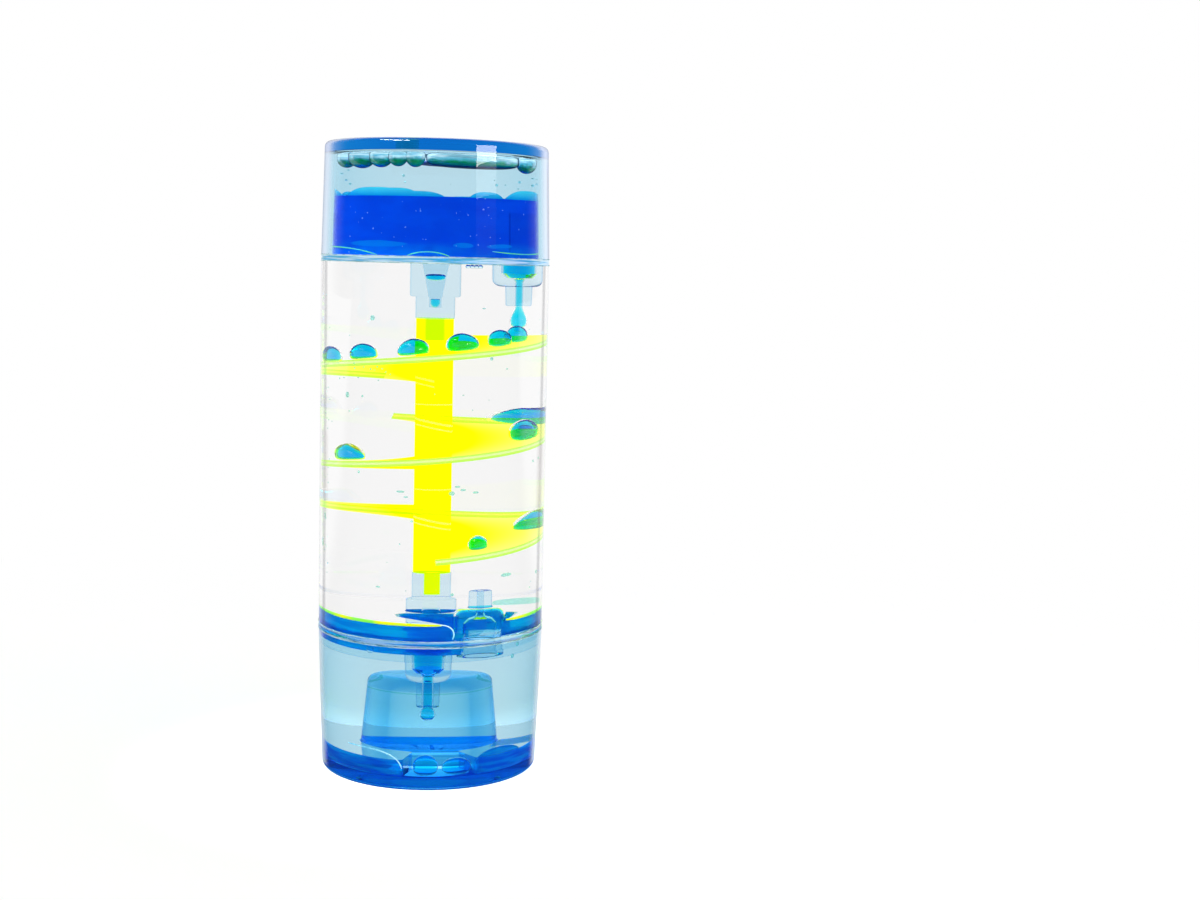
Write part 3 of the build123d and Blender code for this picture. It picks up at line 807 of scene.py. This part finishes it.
def film_ring(height):
    """Wedge of liquid standing on the upper pool along the wall, its height given for each angle.

    Its thickness falls with the square of what is left of the height, and the wall leans in by the draft.
    """
    steps = 9
    edge_depth = 0.25
    foot_depth = 1.1
    phi = np.linspace(-180.0, 180.0, len(height), endpoint=False)[:, None]
    up = np.linspace(0.0, 1.0, steps)
    lift = np.concatenate([up, up[::-1][1:]])[None, :]
    inner = np.concatenate([np.zeros(steps), up[1:]])[None, :]
    draft = UP_DRAFT / (TOTAL_H - UP_SEAT)
    foot = BORE_R - 0.18 - draft * (UP_LEVEL - UP_SEAT)
    rise = height[:, None] * lift
    depth = inner * (edge_depth + foot_depth * (1 - lift) ** 2)
    return at(phi, foot - draft * rise - depth, UP_LEVEL - 0.02 + rise)


def bump(phi, middle_phi, half, height):
    """Flat-topped hump: height times 1 less the cube of the distance over the half width."""
    away = np.minimum(np.abs((phi - middle_phi + 180.0) % 360.0 - 180.0) / half, 1.0)
    return height * (1 - away ** 3)


COLOUR = {"subtype": "COLOR", "min": 0.0, "max": 1.0}


class TimerColours(PropertyGroup):
    """Colours that a user would change"""

    cup: FloatVectorProperty(
        name="Cup tint",
        description="Colour left of white light after 10 mm of the tinted plastic",
        default=(0.2865, 0.69, 0.914),
        **COLOUR,
    )
    pool: FloatVectorProperty(
        name="Pool tint",
        description="Colour left of white light after 1 mm of the standing liquid",
        default=(0.387, 0.942, 0.992),
        **COLOUR,
    )
    drop: FloatVectorProperty(
        name="Drop tint",
        description="Colour left of white light after 1 mm of a drop",
        default=(0.12, 0.88, 0.985),
        **COLOUR,
    )
    yellow: FloatVectorProperty(
        name="Spiral yellow",
        description="Colour of the spiral's column and of its ramps near it",
        default=(1.0, 1.0, 0.0),
        **COLOUR,
    )
    lime: FloatVectorProperty(
        name="Ramp edge",
        description="Colour of the lit edge of the ramps",
        default=(0.52, 0.95, 0.12),
        **COLOUR,
    )
    lit_rim: FloatVectorProperty(
        name="Lit rim",
        description="Colour of the edge of the liquid where it holds the spiral's light",
        default=(0.85, 1.0, 0.0),
        **COLOUR,
    )
    speck: FloatVectorProperty(
        name="Specks",
        description="Colour of the fine drops in the oil",
        default=(0.60, 0.88, 0.88),
        **COLOUR,
    )
    floor: FloatVectorProperty(
        name="Floor",
        description="Colour of the floor",
        default=(0.8, 0.8, 0.8),
        **COLOUR,
    )


class TimerSizes(PropertyGroup):
    """Sizes that a user would change"""

    film_rise: FloatProperty(
        name="Film rise",
        description="Height of the tallest hump of the film over the upper pool",
        unit="LENGTH",
        default=2.0 * MM,
    )
    bubble_depth: FloatProperty(
        name="Bubble depth",
        description="How far the bubbles hang from the closed end",
        unit="LENGTH",
        default=3.7 * MM,
    )
    rim_thickness: FloatProperty(
        name="Rim thickness",
        description="Height of the lit edge of the liquid",
        unit="LENGTH",
        default=0.7 * MM,
    )
    seam_thickness: FloatProperty(
        name="Seam thickness",
        description="Thickness of the bead of glue along a seam",
        unit="LENGTH",
        default=0.22 * MM,
    )
    fine_specks: IntProperty(
        name="Fine specks",
        description="Number of the finest specks on the tube wall",
        default=90,
    )


class TimerStage(PropertyGroup):
    """Camera of the stage"""

    distance: FloatProperty(
        name="Distance",
        description="Camera distance in front of the axis",
        unit="LENGTH",
        default=0.3899,
    )
    height: FloatProperty(
        name="Height",
        description="Camera height",
        unit="LENGTH",
        default=0.1143,
    )
    pitch: FloatProperty(
        name="Pitch",
        description="Downward tilt of the camera",
        unit="ROTATION",
        default=math.radians(6.241),
    )
    yaw: FloatProperty(
        name="Yaw",
        description="Turn of the camera to the right",
        unit="ROTATION",
        default=math.radians(5.475),
    )
    roll: FloatProperty(
        name="Roll",
        description="Roll of the camera",
        unit="ROTATION",
        default=math.radians(1.409),
    )
    lens: FloatProperty(
        name="Lens",
        description="Focal length in millimetres on a 36 mm sensor",
        default=52.5,
    )


class TIMER_OT_shells(Operator):
    """Finish the cups, the tube and the plug, and lay the beads of glue along the seams"""

    bl_idname = "timer.shells"
    bl_label = "Cups, tube and seams"

    def execute(self, context):
        tint = context.scene.timer_colours.cup
        dress(tube_finish(), "main_tube")
        dress(upper_cup_finish(tint), "upper_cup")
        dress(lower_cup_finish(tint), "lower_cup")
        dress(plug_finish(), "fill_plug")
        thick = context.scene.timer_sizes.seam_thickness / MM
        bead = seam_finish()
        for name, heights in (("upper_seam", (TUBE_HIGH, UP_SEAT)), ("lower_seam", (LOW_RIM, TUBE_LOW))):
            build(name, [hoop(TUBE_R, z, thick) for z in heights], bead, CLEAR_SLOT, closed=True)
        return {"FINISHED"}


class TIMER_OT_mouldings(Operator):
    """Finish the partitions and the nozzles"""

    bl_idname = "timer.mouldings"
    bl_label = "Partitions and nozzles"

    def execute(self, context):
        dress(partition_finish(), "upper_partition", "lower_partition")
        dress(nozzle_finish(), *(node for node in NODES if node.endswith("nozzle")))
        return {"FINISHED"}


class TIMER_OT_spiral(Operator):
    """Finish the three spiral segments"""

    bl_idname = "timer.spiral"
    bl_label = "Spiral"

    def execute(self, context):
        colours = context.scene.timer_colours
        for ramp, node in enumerate(SEGMENTS):
            dress(spiral_finish(ramp, colours.yellow, colours.lime), node)
        return {"FINISHED"}


class TIMER_OT_pools(Operator):
    """Finish the standing liquid, and add the film that it draws up the wall and its lit edges"""

    bl_idname = "timer.pools"
    bl_label = "Pools and their edges"

    # Humps of the film: angle, half width, share of the tallest
    HUMPS = (
        (-166.0, 18.0, 0.75), (-124.0, 20.0, 0.85), (-112.0, 14.0, 0.8), (-100.0, 14.0, 0.5),
        (-63.0, 10.0, 0.6), (-34.0, 18.0, 0.95), (-8.0, 18.0, 0.85), (30.0, 24.0, 0.7),
        (72.0, 20.0, 0.8), (112.0, 24.0, 0.7), (152.0, 20.0, 0.8),
    )
    FILM_FOOT = 0.08

    # Colours of light seen through a pool, and of the deep and the light streaks on its sides
    MIDDLE_BLUES = (0, 0.38, 0.92), (0, 0.17, 0.76), (0, 0.29, 0.86)
    LOWER_BLUES = (0, 0.38, 0.90), (0, 0.14, 0.68), (0, 0.38, 0.84)
    LENS_BLUES = (0.02, 0.55, 0.92), (0, 0.20, 0.72), (0, 0.40, 0.86)
    LENS_PHI = -45.5

    def execute(self, context):
        colours = context.scene.timer_colours
        sizes = context.scene.timer_sizes
        dress(upper_pool_finish(), "upper_pool")
        finish = pool_finish("middle_pool_finish", MID_LEVEL, *self.MIDDLE_BLUES, open_x=6.0)
        dress(finish, "middle_pool")
        near_post = {"thin_r": POST_FOOT_R + 4.2, "dull_x": 10.5}
        dress(pool_finish("lower_pool_finish", LOW_LEVEL, *self.LOWER_BLUES, **near_post), "lower_pool")
        sheet = sleeve("lower_vent_nozzle", TUBE_LOW + 0.3, VENT_SPIGOT, 0.5)
        wet = liquid_finish("vent_film_finish", POOL_IOR, colours.pool)
        build("vent_film", [sheet], wet, LIQUID_SLOT, closed=True)
        dress(liquid_finish("charge_finish", DROP_IOR, colours.drop), "drip_charge", "drain_charge")
        self.film(sizes.film_rise / MM)
        self.rims(0.5 * sizes.rim_thickness / MM, colours.lit_rim)
        self.low_pool_edges()
        self.pocket(colours.drop)
        return {"FINISHED"}

    def film(self, rise):
        """Film over the upper pool: a low foot and the largest of the humps at each angle."""
        phi = np.linspace(-180.0, 180.0, 360, endpoint=False)
        humps = [bump(phi, middle_phi, half, rise * share) for middle_phi, half, share in self.HUMPS]
        rings = film_ring(self.FILM_FOOT + np.max(humps, axis=0))
        build("upper_film", [rings], film_finish(), LIQUID_SLOT, closed=True)

    def rims(self, half, lit):
        """Lit edges along the wall: round the middle pool, and thin ones at the foot of the upper pool."""
        lines = (
            [(-176, 0.0), (-146, 0.0), (-115, 0.0), (-84, -0.1)],
            [(-47, 0.0), (-31, 0.0), (-16, 0.0), (0, 0.0)],
        )
        beads = [wall_line(knots, MID_LEVEL, RIM_R, half, 0.18) for knots in lines]
        build("middle_pool_rim", beads, rim_finish("lit_rim_finish", lit), LIQUID_SLOT)
        lines = (
            [(-172, 1.7), (-155, 1.6), (-138, 1.3), (-121, 0.1)],
            [(-105, 0.1), (-98, 0.9), (-90, 0.9), (-83, 0.1)],
            [(-60, 1.4), (-45, 1.0), (-30, 1.0), (-15, 1.5)],
        )
        beads = [wall_line(knots, UP_SEAT, RIM_R, 0.11, 0.1) for knots in lines]
        build("upper_pool_rim", beads, rim_finish("foot_rim_finish", (0.15, 0.75, 0.45)), LIQUID_SLOT)

    def low_pool_edges(self):
        """Beads with a painted pale highlight at the front ends of the two lower pools, and a lens of
        liquid by the lower wall.
        """
        wall = high("lower_pool", 0) - 0.1
        middle_end = [(-86, 0.0), (-80.5, -0.4), (-78, -1.6), (-78.5, -3.15)]
        lower_end = [(-140, 2.0), (-125, 1.9), (-112, 1.0), (-105, -1.9)]
        beads = [
            wall_line(middle_end, MID_LEVEL, RIM_R, 0.14, 0.1),
            wall_line(lower_end, LOW_LEVEL, wall, 0.16, 0.1),
        ]
        # Painted highlight: the beads' pale glowing colour stands in for glints
        finish = rim_finish("painted_glint_rim_finish", (0.80, 0.97, 1.0), (0.30, 0.78, 0.90))
        build("pool_end_rims", beads, finish, LIQUID_SLOT)
        tangent, inward, up = wall_axes(self.LENS_PHI)
        lens = dome(12.6, 4.9, 1.7, belly=0.3)
        lens = set_in(lens, at(self.LENS_PHI, wall - 1.0, LOW_LEVEL - 1.0), (tangent, up, inward))
        build("pool_lens", [lens], pool_finish("pool_lens_finish", FAR, *self.LENS_BLUES), LIQUID_SLOT)

    def pocket(self, tint):
        """Liquid left in the upper holder's pocket: a rounded bead at its end and a thin lens above."""
        finish = liquid_finish("pocket_finish", DROP_IOR, tint)
        base = low("holder_bead")
        wide = high("holder_bead", 0) - low("holder_bead", 0)
        tall = high("holder_bead") - base
        bead = set_in(dome(wide, wide, tall, belly=0.4, flat=0.4), (0, 0, base + tall), HANGING)
        build("pocket_bead", [bead], finish, LIQUID_SLOT, "holder_bead")
        lens = set_in(dome(3.2, 3.2, 1.5, belly=0.6, flat=0.6), (0, 0, base + 7.2), HANGING)
        build("pocket_lens", [lens], finish, LIQUID_SLOT)


class TIMER_OT_drops(Operator):
    """Round the drops on the ramps and on the lower floor, and finish the hanging ones"""

    bl_idname = "timer.drops"
    bl_label = "Drops"

    # Ramp drops: length, width, height, lean and tip, then, where they aren't 0, the tip's side in degrees
    # from uphill and a shift inward
    SHAPES = {
        "drop_1a": (5.9, 4.9, 3.5, 0.03, 0.15),
        "drop_1b": (6.1, 5.0, 3.5, 0.0, 0.1),
        "drop_1c": (6.2, 5.0, 3.6, 0.0, 0.1, 180.0),
        "drop_1d": (6.4, 5.0, 3.8, -0.02, 0.1),
        "drop_1e": (5.2, 4.6, 3.5, 0.0, 0.05),
        "drop_1f": (4.8, 4.4, 3.5, 0.0, 0.05),
        "drop_2a": (10.4, 5.2, 3.7, -0.06, 0.45),
        "drop_2b": (8.2, 6.4, 4.4, -0.05, 0.25),
        "drop_2c": (8.2, 5.2, 3.7, -0.05, 0.4),
        "drop_3a": (6.8, 11.0, 4.0, 0.0, 0.6, 90.0, 1.2),
        "drop_3b": (4.0, 3.8, 3.0, 0.0, 0.05),
    }

    def execute(self, context):
        tint = context.scene.timer_colours.drop
        coat = {"Coat Weight": 0.7, "Coat Roughness": 0.08}
        finish = liquid_finish("blue_drop_finish", DROP_IOR, tint, **coat)
        for node, shape in self.SHAPES.items():
            rings = self.on_ramp(node, *shape)
            build("run_" + node, [rings], finish, DROP_SLOT, node, body=node + "_body")
        floor_finish = floor_drop_finish(context.scene.timer_colours.pool)
        for node in ("floor_drop_left", "floor_drop_right"):
            wide = high(node, 0) - low(node, 0)
            rings = dome(wide, wide, high(node) - low(node), belly=0.45, flat=0.7)
            rings = set_in(rings, (*middle(node)[:2], low(node) + 0.05), UPRIGHT)
            build("round_" + node, [rings], floor_finish, LIQUID_SLOT, node)
        dress(finish, "pendant_drop", "drain_drop")
        return {"FINISHED"}

    def on_ramp(self, node, length, width, height, lean, tip, side=0.0, shift=0.0):
        """Dome set along the ramp's rise, inward and square to both, its foot a film above the ramp."""
        x, y, _ = middle(node)
        phi = math.degrees(math.atan2(y, x))
        r = math.hypot(x, y)
        ramp_number = int(node.removeprefix("drop_")[0])
        start_phi, start_z = ramp_start(ramp_number - 1)
        a = math.radians(phi)
        along = np.array([-math.sin(a) * r, math.cos(a) * r, math.degrees(RAMP_SLOPE)])
        along /= np.linalg.norm(along)
        inward = np.array([-math.cos(a), -math.sin(a), 0.0])
        normal = np.cross(along, inward)
        swept = (start_phi - phi) % 360.0
        foot = np.array([x, y, start_z - RAMP_SLOPE * swept])
        foot = foot + inward * shift + normal * (0.5 * RAMP_T + DROP_LIFT)
        rings = dome(length, width, height, lean=lean, tip=tip, tip_at=math.radians(side))
        return set_in(rings, foot, (along, inward, normal))


class TIMER_OT_bubbles(Operator):
    """Hang air bubbles under the closed end of the upper cup, and a few small ones under the partitions"""

    bl_idname = "timer.bubbles"
    bl_label = "Air bubbles"

    # Bubbles under the closed end: angle, distance from the axis, lengths along and towards the wall, share
    # of the depth, and the power of the crown, which is flat on the two large ones
    ROW = (
        (-168.0, 19.7, 4.4, 4.2, 0.9, 1.0), (-143.0, 19.3, 5.6, 5.0, 1.0, 1.0),
        (-125.5, 19.6, 4.8, 4.4, 0.97, 1.0), (-113.4, 19.9, 3.9, 3.8, 0.92, 1.0),
        (-102.8, 19.8, 4.0, 3.9, 0.95, 1.0), (-62.0, 15.6, 21.0, 11.0, 0.86, 0.5),
        (-15.0, 19.7, 4.6, 4.2, 0.97, 1.0), (62.0, 9.5, 20.0, 20.0, 0.45, 0.5),
    )

    # Row of small bubbles under the upper partition
    SMALL_PHI = (-72.4, -70.0, -67.6, -65.2)

    def execute(self, context):
        depth = context.scene.timer_sizes.bubble_depth / MM
        bubbles = []
        for phi, r, along, across, share, crown in self.ROW:
            rings = dome(along, across, depth * share, belly=0.42, flat=0.55, crown=crown)
            tangent, inward, _ = wall_axes(phi)
            bubbles.append(set_in(rings, at(phi, r, CEILING - 0.06), (tangent, inward, DOWN)))
        build("ceiling_bubbles", bubbles, bubble_finish(), CLEAR_SLOT)
        small = [speck(phi, 21.0, TUBE_HIGH - 0.5, 0.55, 0.42, 0.5) for phi in self.SMALL_PHI]
        small.append(speck(-124.5, 21.4, LOW_RIM - 1.4, 0.9, 0.9, 0.9))
        build("small_bubbles", small, small_bubble_finish(), CLEAR_SLOT)
        return {"FINISHED"}


class TIMER_OT_specks(Operator):
    """Scatter fine drops and streaks of dyed water on the walls"""

    bl_idname = "timer.specks"
    bl_label = "Specks and streaks"

    # Drops on the wall: angle, height, half width and half height
    LARGE = (
        (-124, 100.8, 0.55, 0.6), (-141, 84.2, 0.55, 0.7), (-130, 84.2, 0.25, 0.28), (-59, 92.7, 0.4, 0.4),
        (-49, 90.5, 0.2, 0.2), (-132, 68.0, 0.28, 0.32), (-164, 57.0, 0.5, 0.75), (-168, 51.0, 0.5, 1.1),
        (-107, 64.5, 0.9, 0.24), (-104, 63.4, 0.5, 0.18), (-80, 64.3, 0.6, 0.5), (-77, 65.7, 0.6, 0.22),
        (-74, 65.0, 0.6, 0.25), (-67, 64.4, 0.7, 0.25), (-25, 70.0, 0.35, 0.3), (-18, 70.4, 0.3, 0.3),
        (-119, 43.8, 0.5, 0.2), (-47, 46.0, 1.5, 0.42), (-18, 45.0, 0.5, 0.45), (-79, 42.6, 0.35, 0.35),
        (-41, 27.8, 0.55, 0.55), (-37, 30.2, 0.5, 0.5),
    )
    SEED = 7
    WALL_INSET = 0.4

    # Numbers of random specks in one patch and in the upper cup
    PATCH_COUNT = 14
    UPPER_COUNT = 16

    def execute(self, context):
        colour = context.scene.timer_colours.speck
        count = context.scene.timer_sizes.fine_specks // 2
        rng = np.random.default_rng(self.SEED)
        wall = BORE_R - self.WALL_INSET
        heights = TUBE_LOW + 8, TUBE_HIGH - 6
        specks = [speck(phi, wall, z, wide, tall) for phi, z, wide, tall in self.LARGE]
        specks += self.scatter(rng, count, (-170, -158), heights, (0.07, 0.2))
        specks += self.scatter(rng, count, (-180, 180), heights, (0.07, 0.16))
        specks += self.scatter(rng, self.PATCH_COUNT, (-152, -108), (87, 91), (0.1, 0.18))
        build("oil_specks", specks, speck_finish("speck_finish", colour, 0.35), DROP_SLOT)
        streak = wall_line([(-56, 4.1), (-41, 3.7), (-25, 2.9), (-10, 1.9)], MID_LEVEL, wall, 0.75, 0.2)
        build("wall_streak", [streak], speck_finish("streak_finish", colour, 0.2), DROP_SLOT)
        heights = UP_LEVEL + 2.2, CEILING - 4
        specks = self.scatter(rng, self.UPPER_COUNT, (-165, -15), heights, (0.08, 0.26), 0.9)
        build("upper_specks", specks, speck_finish("upper_speck_finish", colour, 0.5), DROP_SLOT)
        return {"FINISHED"}

    def scatter(self, rng, count, angles, heights, sizes, inset=0.3):
        """Specks at random places on a stretch of wall."""
        phi = rng.uniform(*angles, count)
        z = rng.uniform(*heights, count)
        size = rng.uniform(*sizes, count)
        return [speck(p, BORE_R - inset, h, s, 1.2 * s) for p, h, s in zip(phi, z, size)]


class TIMER_OT_stage(Operator):
    """Set up the floor, the light and the camera"""

    bl_idname = "timer.stage"
    bl_label = "Stage"

    # Softboxes: azimuth, distance, height of the middle, width, height, brightness
    BOXES = {
        "softbox": (50.0, 0.7, 0.2415, 0.27, 0.083, 11.0),
        "softbox_middle": (50.0, 0.7, 0.191, 0.27, 0.018, 2.0),
        "softbox_foot": (50.0, 0.7, 0.164, 0.27, 0.036, 0.14),
    }

    # Lamp that only mirrored rays see, in the same order, and the place that all the lamps face
    GLINT = (-58.0, 0.6, 0.85, 0.45, 0.18, 40.0)
    AIM = Vector((0.0, 0.0, 0.1))

    # How dark the front is for mirrored rays
    FRONT_DARK = 0.97

    # Half the floor's width, and how far it is below the base, in metres
    FLOOR_HALF = 4.0
    FLOOR_DEPTH = 0.0003

    def execute(self, context):
        scene = context.scene
        scene.view_settings.view_transform = "Standard"
        scene.cycles.max_bounces = 32
        scene.cycles.transmission_bounces = 32
        scene.cycles.glossy_bounces = 16
        scene.cycles.transparent_max_bounces = 64
        self.camera(scene, scene.timer_stage)
        self.world(scene)
        for name, box in self.BOXES.items():
            self.lamp(scene, name, *box)
        glint = self.lamp(scene, "glint_lamp", *self.GLINT)
        glint.visible_transmission = False
        glint.visible_diffuse = False
        self.floor(scene, scene.timer_colours.floor)
        return {"FINISHED"}

    def camera(self, scene, stage):
        """Camera in front of the axis, turned by yaw, then pitch, then roll."""
        data = bpy.data.cameras.new("photo_camera")
        data.lens = stage.lens
        data.sensor_width = 36.0
        data.clip_start = 0.01
        camera = bpy.data.objects.new("photo_camera", data)
        scene.collection.objects.link(camera)
        sin, cos = math.sin, math.cos
        level = cos(stage.pitch)
        forward = np.array([sin(stage.yaw) * level, cos(stage.yaw) * level, -sin(stage.pitch)])
        across = np.array([cos(stage.yaw), -sin(stage.yaw), 0.0])
        upright = np.cross(across, forward)
        right = cos(stage.roll) * across + sin(stage.roll) * upright
        up = -sin(stage.roll) * across + cos(stage.roll) * upright
        placed = Matrix(np.column_stack([right, up, -forward]).tolist()).to_4x4()
        placed.translation = (0.0, -stage.distance, stage.height)
        camera.matrix_world = placed
        scene.camera = camera

    def world(self, scene):
        """White all round, a little dimmer overhead for bent rays and dark in front for mirrored ones."""
        scene.world = bpy.data.worlds.new("studio")
        recipe = Recipe(scene.world)
        _, back, height = recipe.split(recipe.node("TexCoord", output="Generated"))
        overhead = height.step(0.5, 0.9) * 0.35
        in_front = 1 - back.step(0.2, 0.7)
        shade = overhead.max(recipe.mirrored() * in_front * self.FRONT_DARK)
        colour = recipe.blend(shade * (1 - recipe.path("Camera")), WHITE, BLACK)
        recipe.finish(recipe.node("Background", {"Color": colour}))

    def lamp(self, scene, name, azimuth, distance, height, width, tall, brightness):
        """Panel of light that faces the object."""
        data = bpy.data.lights.new(name, "AREA")
        data.shape = "RECTANGLE"
        data.size = width
        data.size_y = tall
        data.energy = brightness * math.pi * width * tall
        lamp = bpy.data.objects.new(name, data)
        a = math.radians(azimuth)
        lamp.location = (math.sin(a) * distance, -math.cos(a) * distance, height)
        lamp.rotation_euler = (self.AIM - lamp.location).to_track_quat("-Z", "Y").to_euler()
        scene.collection.objects.link(lamp)
        return lamp

    def floor(self, scene, colour):
        """Pale floor with a painted glow, brightest where the object stands, that turns to plain white away
        from it.
        """
        recipe = recipe_for("floor_finish")
        _, y, _, r = recipe.place()
        # Painted light: the floor glows brighter near the object, lightening its shadow
        glow = recipe.blend(r.step(24.0, 75.0), (0.9, 0.9, 0.9), (0.32, 0.32, 0.32))
        near = recipe.solid(colour, **glowing(glow))
        white, dark = (recipe.node("Emission", {"Color": shade}) for shade in (WHITE, BLACK))
        in_front = 1 - y.step(40.0, 200.0)
        shader = recipe.mix(r.step(90.0, 300.0), near, white)
        shader = recipe.mix(recipe.mirrored() * in_front * self.FRONT_DARK, shader, dark)
        mesh = bpy.data.meshes.new("floor")
        half = self.FLOOR_HALF
        corners = [(-half, -half, 0), (half, -half, 0), (half, half, 0), (-half, half, 0)]
        mesh.from_pydata(corners, [], [(0, 1, 2, 3)])
        mesh.materials.append(recipe.finish(shader))
        floor = bpy.data.objects.new("floor", mesh)
        floor.location.z = -self.FLOOR_DEPTH
        scene.collection.objects.link(floor)


class TIMER_PT_panel(Panel):
    """Buttons for the pieces of the timer"""

    bl_label = "Liquid motion timer"
    bl_idname = "TIMER_PT_panel"
    bl_space_type = "VIEW_3D"
    bl_region_type = "UI"
    bl_category = "Timer"

    def draw(self, context):
        for operator in OPERATORS:
            self.layout.operator(operator.bl_idname)


OPERATORS = (
    TIMER_OT_shells,
    TIMER_OT_mouldings,
    TIMER_OT_spiral,
    TIMER_OT_pools,
    TIMER_OT_drops,
    TIMER_OT_bubbles,
    TIMER_OT_specks,
    TIMER_OT_stage,
)
GROUPS = {"timer_colours": TimerColours, "timer_sizes": TimerSizes, "timer_stage": TimerStage}


def register():
    """Make the classes and their settings known."""
    for item in (*GROUPS.values(), *OPERATORS, TIMER_PT_panel):
        bpy.utils.register_class(item)
    for name, group in GROUPS.items():
        setattr(bpy.types.Scene, name, PointerProperty(type=group))


def unregister():
    """Take the classes and their settings away again."""
    for name in GROUPS:
        delattr(bpy.types.Scene, name)
    for item in (TIMER_PT_panel, *reversed(OPERATORS), *GROUPS.values()):
        bpy.utils.unregister_class(item)


def main():
    """Register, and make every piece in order."""
    register()
    bpy.ops.timer.shells()
    bpy.ops.timer.mouldings()
    bpy.ops.timer.spiral()
    bpy.ops.timer.pools()
    bpy.ops.timer.drops()
    bpy.ops.timer.bubbles()
    bpy.ops.timer.specks()
    bpy.ops.timer.stage()


if __name__ == "__main__":
    main()
